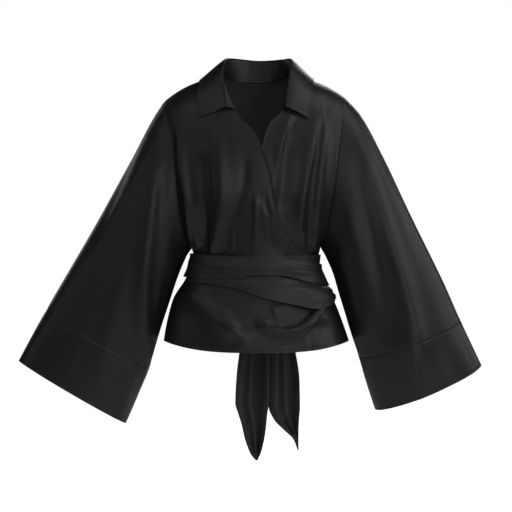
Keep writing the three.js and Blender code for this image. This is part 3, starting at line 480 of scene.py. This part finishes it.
def make_sheet(name, p, material, closed=False, thick=CLOTH):
    rows, columns = p.shape[:2]
    ring = np.concatenate([p, p[:, :1]], 1) if closed else p
    u, v = cloth_lengths(ring)
    wide = ring.shape[1] - 1
    r, c = [a.ravel() for a in np.meshgrid(np.arange(rows - 1), np.arange(wide), indexing="ij")]
    corners = np.stack([np.stack(pair, -1) for pair in ((r, c), (r, c + 1), (r + 1, c + 1), (r + 1, c))], 1)
    faces = corners[..., 0] * columns + corners[..., 1] % columns
    mesh = bpy.data.meshes.new(name)
    mesh.from_pydata((p.reshape(-1, 3) * MM).tolist(), [], faces.tolist())
    layer = mesh.uv_layers.new(name="cloth")
    flat = np.stack([u, v], -1)[corners[..., 0], corners[..., 1]].reshape(-1, 2) * MM
    layer.data.foreach_set("uv", flat.ravel())
    mesh.materials.append(material)
    piece = bpy.data.objects.new(name, mesh)
    bpy.context.scene.collection.objects.link(piece)
    bpy.ops.object.select_all(action="DESELECT")
    piece.select_set(True)
    bpy.context.view_layer.objects.active = piece
    wall = piece.modifiers.new("wall", "SOLIDIFY")
    wall.thickness = thick * MM
    wall.offset = 0
    bpy.ops.object.modifier_apply(modifier="wall")
    bpy.ops.object.shade_smooth_by_angle(angle=SHARP_ANGLE)
    area = 0.5 * sum(f.area for f in piece.data.polygons)
    print(f"{name}: {len(piece.data.polygons)} faces, {area:.4f} square metres")
    return piece


def dress(piece, node):
    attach(piece, "root")
    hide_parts(node)
    return piece


def spaced(length, step, start=(), end=()):
    """Places from 0 to length, with some close to both ends."""
    low, high = (max(start) if start else 0), (max(end) if end else 0)
    count = max(2, round((length - low - high) / step))
    inner = np.linspace(low, length - high, count + 1)
    return np.array(sorted({*start, *inner.round(3), *[round(length - e, 3) for e in end], 0, length}))


SEAM_ROWS = (0, 0.8, 1.6, 2.6, 4.0)
HEM_ROWS = (0, 1.2, 3.0, 4.1, 4.7, 5.3, 5.9, 7.0)
STITCH_LINE = 5.0
print("rows near a hem, in mm:", HEM_ROWS)


def seam_dip(distance):
    return -0.6 * np.exp(-((distance / 1.9) ** 2))


def stitch_dip(distance, line=STITCH_LINE):
    return -0.45 * np.exp(-(((distance - line) / 0.7) ** 2))


def edge_roll(distance):
    return 0.9 * np.exp(-((distance / 1.7) ** 2))


# %% [markdown]
# ## The two fronts
# Each front is one cut piece from its side seam to its free edge. The wearer's right one lies on top, and
# its lower corner is drawn up to the tie point. So its hem rises there, which the hem tables give. The free
# edges are turned and pressed, so they roll up a little, and a stitched line follows them.

# %% Fronts
OVER_EDGE = table("z x", [
    (-462, 150), (-440, 146), (-415, 132), (-385, 112), (-342, 78), (-306, 53), (-257, 39), (-201, 29),
    (-148, 13), (-116, 0), (-99, -12), (-83, -30), (-66, -40), (-38, -54), (-10, -66), (11, NECK_LEFT),
])
UNDER_EDGE = table("z x", [
    (-440, -112), (-385, -88), (-342, -62), (-306, -44), (-257, -26), (-201, -6), (-148, 8), (-116, 16),
    (-88, 27), (-68, 48), (-38, 56), (-10, 62), (11, NECK_RIGHT),
])
OVER_HEM = table("x lift", [(14, 0), (56, 10), (88, 22), (118, 41), (141, 65), (150, 84)])
UNDER_HEM = table("x lift", [(-112, 100), (-96, 60), (-60, 26), (-10, 0)])
HEM_SWEEP_TOP = -385
FACING = 20.0
ROW_STEP, CHEST_ROWS = 3.4, 90
SHORT_ROW = 80


def over_rise(x, z):
    height = fold_height(OVER_FOLDS, x, z)
    alone = smooth(through(UNDER_EDGE, "x", z) - x, 0, 20)
    return np.where(height < 0, height * alone, height) + 0.35 * unevenness(x, z) * alone


def under_rise(x, z):
    beside = smooth(x - through(OVER_EDGE, "x", z), 10, 38)
    below = smooth(-550 + through(OVER_HEM, "lift", x) - z, 6, 30)
    bare = np.maximum(beside, below)
    height = fold_height(UNDER_FOLDS, x, z)
    return np.where(height < 0, height, height * bare) + 0.35 * unevenness(x + 40, z) * bare


OVER = {"sign": -1, "edge": OVER_EDGE, "hem": OVER_HEM, "rise": over_rise, "lap": 2.3}
UNDER = {"sign": 1, "edge": UNDER_EDGE, "hem": UNDER_HEM, "rise": under_rise, "lap": -0.7}


def front_at(front, share, level):
    share, level = np.broadcast_arrays(np.asarray(share, float), np.asarray(level, float))
    edge = edge_u(front["edge"], level)
    u = front["sign"] + (edge - front["sign"]) * share
    sweep = np.clip((HEM_SWEEP_TOP - level) / (HEM_SWEEP_TOP - HEM_LEVEL), 0, 1)
    side = level + through(front["hem"], "lift", body_at(u, level, FRONT)[..., 0]) * sweep
    face = np.full_like(u, FRONT)
    point, normal = body_at(u, side, face), body_normal(u, side, face)
    from_seam = smooth(np.abs(u - front["sign"]), 0.02, 0.11)
    from_shoulder = smooth(SHOULDER_LEVEL - side, 2, 40)
    height = (front["lap"] + front["rise"](point[..., 0], point[..., 2])) * from_seam * from_shoulder
    return point + normal * height[..., None], normal


def body_rows():
    low = HEM_LEVEL + spaced(UNDERARM_LEVEL - HEM_LEVEL, ROW_STEP, HEM_ROWS)
    share = (1 - np.cos(np.pi * np.arange(1, CHEST_ROWS + 1) / CHEST_ROWS)) / 2
    return np.concatenate([low, UNDERARM_LEVEL + (SHOULDER_LEVEL - UNDERARM_LEVEL) * share])


def drawn_back(p, first=False, last=False, bottom=False, top=False):
    p, amount = p.copy(), SEAM / 2
    if first:
        p[:, 0] += unit(p[:, 1] - p[:, 0]) * amount
    if last:
        p[:, -1] += unit(p[:, -2] - p[:, -1]) * amount
    if bottom:
        p[0] += unit(p[1] - p[0]) * amount
    if top:
        p[-1] += unit(p[-2] - p[-1]) * amount
    return p


EDGE_ROWS = (*HEM_ROWS, 9.5, 12, 14.5, 17, 18.6, 19.3, 20, 20.7, 21.4, 23)


def front_sheet(name, front, columns):
    levels = body_rows()
    probe, _ = front_at(front, np.linspace(0, 1, 41)[None, :], levels[:, None])
    length = np.linalg.norm(np.diff(probe, axis=1), axis=2).sum(axis=1)[:, None]
    squeeze = np.minimum(1, length / SHORT_ROW)
    edge = np.array(EDGE_ROWS)[::-1] * squeeze
    near = np.array(SEAM_ROWS[:-1]) * squeeze
    start, stop = SEAM_ROWS[-1] / length, 1 - edge[:, :1] / length
    inner = start + (stop - start) * np.linspace(0, 1, columns + 1)[None, :-1]
    shares = np.concatenate([near / length, inner, 1 - edge / length], axis=1)
    p, normal = front_at(front, shares, levels[:, None])
    from_edge = (1 - shares) * length
    from_seam = shares * length
    up = np.concatenate([[0], np.linalg.norm(np.diff(p[:, 0], axis=0), axis=1).cumsum()])[:, None]
    line = stitch_dip(from_edge) + stitch_dip(up) + edge_roll(from_edge)
    facing = stitch_dip(from_edge, FACING) * smooth(p[..., 2], -135, -95)
    seams = seam_dip(from_seam) + seam_dip(np.abs(up[-1] - up))
    p = p + normal * (line + facing + seams)[..., None]
    return drawn_back(p, first=True, top=True)


over_grid = front_sheet("front_over", OVER, 84)
front_over = make_sheet("front_over.cloth", over_grid, black_crepe)
under_grid = front_sheet("front_under", UNDER, 66)
front_under = make_sheet("front_under.cloth", under_grid, black_crepe)
for body_piece in (front_over, front_under):
    show_reverse(body_piece, crepe_reverse_painted_light)
dress(front_over, "front_over")
dress(front_under, "front_under")

# %% [markdown]
# ## The back
# The back is cut in one piece, from side seam to side seam and up to the neckline. Its rows bend down at
# the neck, because the top row follows the shoulder seams and the neck's curve.

# %% Back
SHOULDER_HALF, SHOULDER_STEP = 180, 3.2


def back_top(u):
    x = body_at(u, SHOULDER_LEVEL, REAR)[..., 0]
    width = np.where(x < 0, -NECK_LEFT, NECK_RIGHT)
    inside = np.abs(x) < width
    depth = NECK_BACK * np.sqrt(np.clip(1 - (x / width) ** 2, 0, 1))
    low = np.full_like(u, SHOULDER_LEVEL - 30.0)
    high = np.full_like(u, float(SHOULDER_LEVEL))
    for _ in range(30):
        level = (low + high) / 2
        deep = body_at(u, level, REAR)[..., 1] > depth
        low, high = np.where(deep, level, low), np.where(deep, high, level)
    return np.where(inside, (low + high) / 2, SHOULDER_LEVEL)


def back_sheet():
    left, right = float(u_at_x(NECK_LEFT, SHOULDER_LEVEL)), float(u_at_x(NECK_RIGHT, SHOULDER_LEVEL))
    outer = spaced((1 - right) * SHOULDER_HALF, SHOULDER_STEP, SEAM_ROWS) / SHOULDER_HALF
    inner = (1 - np.cos(np.pi * np.arange(1, 48) / 48)) / 2
    mirrored = -1 + outer[::-1] * (1 + left) / (1 - right)
    u = np.concatenate([1 - outer, right + (left - right) * inner, mirrored])
    levels = body_rows()
    share = smooth(levels, UNDERARM_LEVEL, SHOULDER_LEVEL)[:, None]
    side = levels[:, None] + (back_top(u)[None, :] - SHOULDER_LEVEL) * share
    wide = np.broadcast_to(u, side.shape)
    face = np.full_like(side, REAR)
    p, normal = body_at(wide, side, face), body_normal(wide, side, face)
    ends = smooth(1 - np.abs(wide), 0.02, 0.25) * smooth(SHOULDER_LEVEL - side, 2, 40)
    rise = fold_height(BACK_FOLDS, p[..., 0], p[..., 2]) + 0.4 * unevenness(p[..., 0] + 9, p[..., 2])
    widths = np.linalg.norm(np.diff(p, axis=1), axis=2).cumsum(1)
    across = np.concatenate([np.zeros((len(levels), 1)), widths], 1)
    up = np.concatenate([np.zeros((1, len(u))), np.linalg.norm(np.diff(p, axis=0), axis=2).cumsum(0)])
    seams = seam_dip(across) + seam_dip(across[:, -1:] - across) + seam_dip(up[-1:] - up)
    p = p + normal * (rise * ends + seams + stitch_dip(up))[..., None]
    return drawn_back(p, first=True, last=True, top=True)


back_grid = back_sheet()
back = make_sheet("back.cloth", back_grid, black_crepe)
show_reverse(back, crepe_reverse_painted_light)
dress(back, "back")

# %% [markdown]
# ## Sleeves and hem bands
# A sleeve is one wide tube that is set into the armhole. Its sections run from the armhole ring to the
# flat, open end. The deep band at its end is a piece of its own with a seam, and the cloth puckers a little
# along it.

# %% Sleeves
SLEEVE_COLUMNS = "at outer_x outer_z inner_x inner_z depth dip"
SLEEVE_LEFT = table(SLEEVE_COLUMNS, [
    (0, -190, -41, -132, -338, 64, 0), (0.06, -210, -72, -145, -357, 66, 0),
    (0.24, -257, -160, -162, -397, 68, 1), (0.44, -319, -274, -183, -460, 66, 3),
    (0.65, -387, -391, -206, -532, 62, 5), (0.8, -431, -467, -221, -582, 58, 7),
    (0.9, -460, -519, -244, -640, 54, 4), (1, -488, -571, -269, -699, 50, 0),
])
SLEEVE_RIGHT = table(SLEEVE_COLUMNS, [
    (0, 180, -33, 130, -338, 64, 0), (0.06, 210, -66, 141, -357, 66, 0),
    (0.24, 256, -150, 157, -394, 68, 2), (0.44, 313, -270, 173, -448, 67, 4),
    (0.65, 377, -401, 192, -510, 64, 8), (0.8, 416, -489, 209, -562, 61, 11),
    (0.9, 438, -535, 225, -617, 58, 12), (1, 459, -579, 242, -670, 54, 12),
])
CUFF_SEAM = 0.8
RING_FADE = 0.3
SLEEVE_LENGTH, CUFF_LENGTH = 560, 135
SLEEVE_AROUND, SLEEVE_STEP = 216, 4.2
SLEEVE_BACK, UNDERARM_BACK, ARMHOLE_NEAR = 0.2, 0.3, 6
# Around (0 inner edge, 90 front, 180 outer edge, 270 back), half width in degrees, from, to, height, slant
SLEEVE_LEFT_FOLDS = [
    (127, 14, 0.0, 0.9, 9, -134), (150, 20, 0.1, 0.95, 3, -30), (168, 14, 0.1, 0.9, -3, -60),
    (46, 9, 0.3, 0.75, 2.5, -50), (45, 11, 0.7, 1.05, 6, -40), (96, 8, 0.3, 1.0, 1.8, -40),
    (134, 7, 0.0, 0.5, 2.2, 8), (232, 14, 0.05, 0.95, 7, 0), (268, 12, 0.1, 0.7, -5, 0),
    (302, 14, 0.02, 0.9, 7, 0), (252, 7, 0.1, 0.6, 2.5, 9), (320, 7, 0.05, 0.5, 2.5, -9),
]
SLEEVE_RIGHT_FOLDS = [
    (136, 12, 0.0, 0.95, 7, -54), (112, 7, 0.0, 0.6, -2.5, -60), (80, 10, 0.05, 0.8, 2.5, -40),
    (92, 22, 0.62, 1.1, 8, -40), (90, 3.5, 0.74, 1.05, 5, -50), (84, 4, 0.72, 1.05, -4, -50),
    (150, 9, 0.0, 0.6, 2.5, -30), (40, 9, 0.1, 0.7, 2, -10), (112, 7, 0.3, 0.9, 1.6, -30),
    (236, 15, 0.05, 0.95, 7, 0), (270, 12, 0.1, 0.8, -5, 0), (304, 13, 0.05, 0.9, 7, 0),
    (254, 7, 0.1, 0.6, 2.5, 9), (322, 7, 0.05, 0.5, 2.5, -9),
]


def armhole_ring(sign, angle):
    level = UNDERARM_LEVEL + (SHOULDER_LEVEL - UNDERARM_LEVEL) * (1 - np.cos(angle)) / 2
    face = np.where(angle < math.pi, FRONT, REAR)
    u = np.full_like(angle, sign)
    return body_at(u, level, face), body_normal(u, level, face)


def sleeve_section(tab, at, angle):
    outer = np.stack([through(tab, "outer_x", at), 0 * at, through(tab, "outer_z", at)], -1)
    inner = np.stack([through(tab, "inner_x", at), 0 * at, through(tab, "inner_z", at)], -1)
    middle, half = (outer + inner) / 2, (outer - inner) / 2
    down = unit(np.stack([-half[..., 2], 0 * at, half[..., 0]], -1))
    down = np.where(down[..., 2:] > 0, -down, down)
    sine, cosine = np.sin(angle)[..., None], np.cos(angle)[..., None]
    toward = np.stack([0 * at, -through(tab, "depth", at), 0 * at], -1)
    return middle - half * cosine + down * sine * through(tab, "dip", at)[..., None] + toward * sine


def sleeve_fold(folds, at, degrees):
    height = np.zeros_like(at * degrees)
    for around, width, start, stop, rise, slant in folds:
        away = (degrees - around - slant * (at - start)) / width
        ends = smooth(at, start, start + 0.2) * smooth(stop - at, -0.02, 0.2)
        height += rise * ends * np.exp(-away * away)
    return height


def puckers(distance, along):
    wave = np.sin(along / 3.1 + 1.3 * np.sin(along / 31)) * (0.55 + 0.45 * np.sin(along / 47 + 1))
    return 0.75 * wave * np.exp(-((distance / 11) ** 2))


def sleeve_tube(sign, tab, folds, start, stop, length, first_rows, last_rows):
    angle = np.arange(SLEEVE_AROUND) * 2 * math.pi / SLEEVE_AROUND
    ring, ring_normal = armhole_ring(sign, angle)
    places = spaced(length, SLEEVE_STEP, first_rows, last_rows)
    at = (start + (stop - start) * places / length)[:, None] + 0 * angle[None, :]
    turned = np.broadcast_to(angle, at.shape)
    fade = (1 - smooth(at, 0, RING_FADE))[..., None]
    rest = ring - sleeve_section(tab, 0 * angle, angle)
    p = sleeve_section(tab, at, turned) + rest[None] * fade
    normal = grid_normals(p, True)
    if normal[0, SLEEVE_AROUND // 4, 1] > 0:
        normal = -normal
    degrees = np.degrees(turned)
    along = np.cumsum(np.linalg.norm(np.roll(p, -1, 1) - p, axis=2), axis=1)
    soft = 0.5 * unevenness(degrees * 2.2 + 30 * sign, places[:, None] + 0 * degrees) * smooth(at, 0.02, 0.12)
    height = sleeve_fold(folds, at, degrees) + soft
    return p, normal, height, places[:, None], along, ring, ring_normal, angle


def sleeve_and_cuff(sign, tab, folds):
    p, normal, height, places, along, ring, ring_normal, angle = sleeve_tube(
        sign, tab, folds, 0, CUFF_SEAM, SLEEVE_LENGTH, SEAM_ROWS, SEAM_ROWS)
    lower = SLEEVE_LENGTH - places
    height = height + seam_dip(places) + seam_dip(lower) + puckers(lower, along)
    low = (((1 + np.cos(angle)) / 2) ** 2)[None, :, None]
    near = np.exp(-((places / ARMHOLE_NEAR) ** 2))[..., None]
    sleeve = p + normal * height[..., None] + ring_normal[None] * UNDERARM_BACK * low * near
    sleeve = sleeve + unit(p[6:7] - p[:1]) * SLEEVE_BACK * near
    sleeve = drawn_back(sleeve, top=True)
    p, normal, height, places, along, *_ = sleeve_tube(
        sign, tab, folds, CUFF_SEAM, 1, CUFF_LENGTH, SEAM_ROWS, HEM_ROWS)
    height = height + seam_dip(places) + 0.7 * puckers(places, along) + stitch_dip(CUFF_LENGTH - places)
    cuff = drawn_back(p + normal * height[..., None], bottom=True)
    return sleeve, cuff


left_grid, left_cuff_grid = sleeve_and_cuff(-1, SLEEVE_LEFT, SLEEVE_LEFT_FOLDS)
right_grid, right_cuff_grid = sleeve_and_cuff(1, SLEEVE_RIGHT, SLEEVE_RIGHT_FOLDS)
sleeve_left = make_sheet("sleeve_left.cloth", left_grid, black_crepe, closed=True)
sleeve_right = make_sheet("sleeve_right.cloth", right_grid, black_crepe, closed=True)
cuff_left = make_sheet("cuff_left.cloth", left_cuff_grid, black_crepe, closed=True)
cuff_right = make_sheet("cuff_right.cloth", right_cuff_grid, black_crepe, closed=True)
dress(sleeve_left, "sleeve_left")
dress(sleeve_right, "sleeve_right")
dress(cuff_left, "cuff_left")
dress(cuff_right, "cuff_right")

# %% [markdown]
# ## The collar
# A shirt collar has a stand, the band that is sewn to the neckline, and a fall, which turns over the
# stand's top edge and ends in two points. Both are double cloth with an interlining, so they keep a crisp
# form. A smooth curve through a few points gives each edge, and the fall rolls from one curve to the other.

# %% Curves in space
def curve_of(points, shares):
    p = np.array(points, float)
    p = np.concatenate([[2 * p[0] - p[1]], p, [2 * p[-1] - p[-2]]])
    made = []
    t = np.linspace(0, 1, 17)[:-1, None]
    for a, b, c, d in zip(p, p[1:], p[2:], p[3:]):
        first, middle, last = [max(1e-4, np.linalg.norm(q) ** 0.5) for q in (b - a, c - b, d - c)]
        into = ((b - a) / first - (c - a) / (first + middle) + (c - b) / middle) * middle
        out = ((c - b) / middle - (d - b) / (middle + last) + (d - c) / last) * middle
        leaving = b * (1 + 2 * t) * (1 - t) ** 2 + into * t * (1 - t) ** 2
        made.append(leaving + c * t * t * (3 - 2 * t) - out * t * t * (1 - t))
    dense = np.concatenate([*made, p[-2:-1]])
    reach = np.concatenate([[0], np.linalg.norm(np.diff(dense, axis=0), axis=1).cumsum()])
    return np.stack([np.interp(shares * reach[-1], reach, dense[:, i]) for i in range(3)], -1), reach[-1]


STAND_END_LEVEL = -88
STAND_LIFT, STAND_OFF = 2.4, 2
STAND_TOP = [
    (-61, -88, -58), (-67, -62, -14), (-69, -34, 22), (-64, -4, 43), (-51, 36, 49), (-28, 58, 49),
    (0, 65, 47), (28, 58, 47), (53, 36, 47), (68, -4, 43), (67, -34, 22), (62, -62, -14), (56, -87, -58),
]
# Points of the fall's lower edge: across, up, and -1 for the front or 1 for the back
FALL_EDGE = [
    (-115, -78, -1), (-118, -52, -1), (-119, -24, -1), (-116, -4, -1), (-115, -5, 1), (-98, -18, 1),
    (-54, -24, 1), (0, -26, 1), (54, -24, 1), (95, -16, 1), (113, -2, 1), (114, -1, -1), (113, -24, -1),
    (108, -52, -1), (102, -80, -1),
]
FALL_CLEAR, FALL_LIFT = 5, 1.7
ROLL_HEIGHT, ROLL_REACH, FALL_BULGE = 6.5, 9, 4
FALL_DEPTH, FALL_ROWS, STAND_ROWS = 62, 26, 10
COLLAR_STEP = 3.2


def neckline():
    i = np.arange(8) / 8
    side = STAND_END_LEVEL + (SHOULDER_LEVEL - STAND_END_LEVEL) * (1 - (1 - i) ** 2)

    def part(front):
        point, normal = front_at(front, np.ones(8), side)
        return point + normal * (STAND_OFF * smooth(SHOULDER_LEVEL - side, 0, 30))[:, None]

    left, right = u_at_x(NECK_LEFT, SHOULDER_LEVEL), u_at_x(NECK_RIGHT, SHOULDER_LEVEL)
    u = left + (right - left) * (1 - np.cos(np.pi * np.arange(11) / 10)) / 2
    behind = body_at(u, back_top(u), np.full_like(u, REAR))
    return np.concatenate([part(OVER), behind, part(UNDER)[::-1]])


def fall_edge():
    points = []
    for x, z, face in FALL_EDGE:
        side = level_at_height(x, z, face)
        u = u_at_x(x, side)
        face = np.array(float(face))
        points.append(body_at(u, side, face) + body_normal(u, np.array(side), face) * FALL_CLEAR)
    return points


neck_points = neckline()
neck_length = curve_of(neck_points, np.array([0, 1]))[1]
collar_shares = spaced(neck_length, COLLAR_STEP, HEM_ROWS, HEM_ROWS) / neck_length
print("neckline in mm:", round(float(neck_length)))

# %% Collar stand and fall
def stand_sheet():
    foot, _ = curve_of(neck_points, collar_shares)
    top, _ = curve_of(STAND_TOP, collar_shares)
    foot = foot + unit(top - foot) * STAND_LIFT
    w = spaced(1, 1 / STAND_ROWS, (0, 0.02, 0.05, 0.09, 0.13, 0.17))[:, None, None]
    p = foot + (top - foot) * w
    tall = np.linalg.norm(top - foot, axis=1)
    return p + grid_normals(p) * stitch_dip(w[..., 0] * tall, 3)[..., None]


def fall_sheet():
    top, _ = curve_of(STAND_TOP, collar_shares)
    foot, _ = curve_of(neck_points, collar_shares)
    end, length = curve_of(fall_edge(), collar_shares)
    rise = unit(top - foot)
    start = top + rise * FALL_LIFT
    away = end - start
    away = unit(away - rise * (away * rise).sum(-1, keepdims=True))
    second = start + rise * ROLL_HEIGHT + away * ROLL_REACH * 0.4
    third = start + (end - start) * 0.45 + rise * FALL_BULGE + away * ROLL_REACH
    t = (spaced(1, 1 / FALL_ROWS) ** 1.3)[:, None, None]
    t = np.sort(np.concatenate([t[:-1], 1 - np.array(HEM_ROWS)[:-1, None, None] / FALL_DEPTH]), axis=0)
    p = start * (1 - t) ** 3 + 3 * second * t * (1 - t) ** 2 + 3 * third * t * t * (1 - t) + end * t ** 3
    depths = np.linalg.norm(np.diff(p, axis=0), axis=2).cumsum(0)
    down = np.concatenate([np.zeros((1, p.shape[1])), depths])
    from_edge = down[-1:] - down
    from_end = np.minimum(collar_shares, 1 - collar_shares)[None, :] * length
    edge = np.minimum(from_edge, from_end)
    normal = grid_normals(p)
    outward = np.sign((normal[-4, len(collar_shares) // 2] * (0, 1, 0)).sum())
    return p + outward * normal * stitch_dip(edge)[..., None]


stand_grid = stand_sheet()
collar_stand = make_sheet("collar_stand.cloth", stand_grid, black_crepe, thick=1.5)
fall_grid = fall_sheet()
collar_fall = make_sheet("collar_fall.cloth", fall_grid, black_crepe, thick=1.6)
dress(collar_stand, "collar_stand")
dress(collar_fall, "collar_fall")

# %% [markdown]
# ## The sash
# One long strip of the same cloth is wound round the waist. Its stretches lie on each other and gather into
# soft pleats that run along it. Each stretch is drawn by its angle round the body, so it follows the
# figure.

# %% Sash
SASH_COLUMNS = "angle top bottom lift pleat"
SASH_FRONT = table(SASH_COLUMNS, [
    (-179.2, -367, -391, 14, 1.5), (-170, -361, -394, 9, 2), (-150, -354, -396, 7, 2),
    (-90, -350, -402, 8, 0.8), (-45, -353, -404, 9, 2), (-14, -358, -403, 10, 2.5), (-2, -359, -396, 12, 2.5),
    (14, -362, -396, 13, 3), (45, -367, -411, 11, 3), (62, -370, -418, 10.5, 1.8), (76, -372, -422, 9.5, 1),
    (90, -374, -419, 8.5, 0.8), (130, -367, -407, 7.5, 2), (146, -364, -394, 12, 2),
    (159.2, -361, -379, 20, 1.5),
])
SASH_UNDER = table(SASH_COLUMNS, [
    (2, -360, -380, 5.9, 0), (20, -356, -386, 5.9, 0), (50, -354, -390, 5.2, 0), (90, -353, -392, 4, 0),
    (140, -356, -392, 3.5, 0),
])
SASH_FOLD = table(SASH_COLUMNS + " tuck", [
    (-74, -394, -410, 5.4, 0, 0), (-40, -396, -414, 6, 0.5, 0), (-15, -398, -424, 7.2, 1.5, 0),
    (2, -404, -440, 9, 3, 1), (14, -406, -449, 10.5, 3.3, 2), (27, -402, -457, 12, 3.5, 4),
    (45, -404, -466, 13.5, 4, 7.2), (62, -411, -459, 13, 3, 7.6), (76, -421, -446, 10, 1.4, 3.5),
])
SASH_TIE = table(SASH_COLUMNS, [
    (77, -426, -447, 7.6, 2), (100, -422, -446, 6.4, 2), (128, -412, -438, 6.6, 3), (146, -398, -419, 11, 3),
    (159.2, -381.5, -398, 20, 2),
])
ROUND = 2.1
TUCK_FROM = 0.55
SASH_ROWS, SASH_STEP = 30, 1.5
# Creases of the band: height, half width, lean, and a line of (angle, height) points; an angle counts 2.1 mm
FRONT_CREASES = [
    (1.0, 5, 0.3, [(-110, -368), (-60, -374), (-10, -382)]),
    (0.8, 4, -0.3, [(-80, -388), (-40, -392), (-8, -391)]),
    (0.9, 5, 0.3, [(-10, -372), (30, -378), (70, -388)]),
    (0.7, 3.5, 0, [(24, -388), (50, -396), (78, -402)]),
]
FOLD_CREASES = [
    (1.4, 6, 0.3, [(0, -412), (24, -424), (48, -438), (66, -442)]),
    (-1.0, 3, 0, [(30, -428), (48, -438), (68, -434)]),
    (1.0, 3, -0.3, [(40, -450), (54, -452), (68, -444)]),
]


def round_body(angle, z):
    face = np.where(np.abs(angle) <= 90, FRONT, REAR)
    turned = np.where(face < 0, angle, np.sign(angle) * (180 - np.abs(angle)))
    u = turned / 90
    side = z + 0 * u
    for _ in range(6):
        side = side + z - body_at(u, side, face)[..., 2]
    return body_at(u, side, face), body_normal(u, side, face)


def sash_sheet(tab, pleats, creases):
    first, last = tab["key"][0], tab["key"][-1]
    angle = np.linspace(first, last, max(8, int((last - first) / SASH_STEP)) + 1)[None, :]
    w = np.linspace(0, 1, SASH_ROWS + 1)[:, None]
    z = through(tab, "bottom", angle) * (1 - w) + through(tab, "top", angle) * w
    wide = np.broadcast_to(angle, z.shape)
    p, normal = round_body(wide, z)
    wave = 0.5 - 0.5 * np.cos(2 * np.pi * pleats * (w + 0.04 * np.sin(wide / 19 + 3 * w)))
    lines = [(h, b, lean, [(a * ROUND, y) for a, y in path]) for h, b, lean, path in creases]
    height = through(tab, "lift", wide) + through(tab, "pleat", wide) * wave
    if "tuck" in tab:
        height = height - through(tab, "tuck", wide) * smooth(w, TUCK_FROM, 1)
    height = height + fold_height(lines, wide * ROUND, z) * smooth(np.minimum(w, 1 - w), 0, 0.15)
    return p + normal * height[..., None]


sash_front = make_sheet("sash_front.cloth", sash_sheet(SASH_FRONT, 1, FRONT_CREASES), sash_crepe_painted_highlight)
sash_under = make_sheet("sash_under.cloth", sash_sheet(SASH_UNDER, 0, []), sash_crepe_painted_highlight)
sash_fold = make_sheet("sash_fold.cloth", sash_sheet(SASH_FOLD, 1, FOLD_CREASES), sash_crepe_painted_highlight)
sash_tie = make_sheet("sash_tie.cloth", sash_sheet(SASH_TIE, 2, []), sash_crepe_painted_highlight)
dress(sash_front, "sash_front")
dress(sash_under, "sash_under")
dress(sash_fold, "sash_fold")
dress(sash_tie, "sash_tie")

# %% [markdown]
# ## Knot and hanging ends
# Behind, the sash goes through a knot, and its two ends hang free. They are cut on the slant, so each ends
# in a point. Their folds start at the knot and open towards the ends.

# %% Knot and tails
KNOT_X, KNOT_Z = 22, -380
KNOT_WIDE, KNOT_TALL, KNOT_DEEP, KNOT_CLEAR = 46, 44, 13, 2.9
KNOT_AROUND, KNOT_ROWS, WAIST_HALF = 72, 22, 125
TAIL_ACROSS = 27
TAIL_COLUMNS = "z left right y"
TAIL_LEFT = table(TAIL_COLUMNS, [
    (-401.3, 10, 22, 116.5), (-430, -8, 23, 121), (-480, -26, 25, 130), (-550, -36, 26.5, 139),
    (-620, -44, 26.5, 139), (-668, -46, 25.5, 138), (-690, -40, 22, 138), (-712, -33, 20, 138),
    (-742, -26, 16, 137), (-775, -14, 8, 136), (-790, -3, 1, 136),
])
TAIL_RIGHT = table(TAIL_COLUMNS, [
    (-401.3, 24.5, 37, 116.5), (-430, 25, 52, 121), (-480, 25.5, 68, 130), (-550, 24.5, 80, 139),
    (-620, 24.5, 90, 139), (-676, 25, 91, 138.5), (-703, 36, 89, 138), (-726, 58, 88, 137),
    (-745, 77, 88, 137), (-768, 86, 88.5, 137),
])


def knot_sheet():
    angle = np.array(180 - math.degrees(math.asin(KNOT_X / WAIST_HALF)))
    point, normal = round_body(angle, np.array(float(KNOT_Z)))
    middle = point + normal * (KNOT_DEEP + KNOT_CLEAR)
    w = (np.arange(KNOT_ROWS + 1) / KNOT_ROWS - 0.5)[:, None]
    turn = (np.arange(KNOT_AROUND) * 2 * math.pi / KNOT_AROUND)[None, :]
    crease = 0.05 * np.cos(4 * turn + 3 * w) + 0.03 * np.cos(11 * turn - 5 * w + 1)
    crease = crease + 0.02 * np.cos(17 * turn + 9 * w)
    waist = (1 - 0.9 * w * w) * (1 + crease)
    return np.stack([
        middle[0] + KNOT_WIDE / 2 * np.cos(turn) * waist,
        middle[1] + KNOT_DEEP * np.sin(turn) * waist,
        middle[2] + KNOT_TALL * w + 0 * turn,
    ], -1)


def tail_sheet(tab, folds, rise, shift):
    low, high = tab["key"][0], tab["key"][-1]
    z = low + spaced(high - low, ROW_STEP, HEM_ROWS)[:, None]
    width = through(tab, "right", z) - through(tab, "left", z)
    share = np.linspace(0, 1, TAIL_ACROSS)[None, :]
    strength = rise * smooth(width, 2, 40)
    bend = 0.03 * np.sin(z / 60) * smooth(width, 10, 50)
    wave = np.cos(2 * np.pi * (folds * (share + bend) + shift))
    small = 0.16 * np.cos(2 * np.pi * (folds * 2.7 * share + shift * 2)) * smooth(z, -760, -560)
    x = through(tab, "left", z) + width * share
    y = through(tab, "y", z) + strength * (wave + small)
    return np.stack([x, y, z + 0 * x], -1)


knot = make_sheet("knot.cloth", knot_sheet(), sash_crepe_painted_highlight, closed=True)
tail_left = make_sheet("tail_left.cloth", tail_sheet(TAIL_LEFT, 1.1, 6, 0.4), sash_crepe_painted_highlight)
tail_right = make_sheet("tail_right.cloth", tail_sheet(TAIL_RIGHT, 1.16, 6, 0.245), sash_crepe_painted_highlight)
dress(knot, "knot")
dress(tail_left, "tail_left")
dress(tail_right, "tail_right")
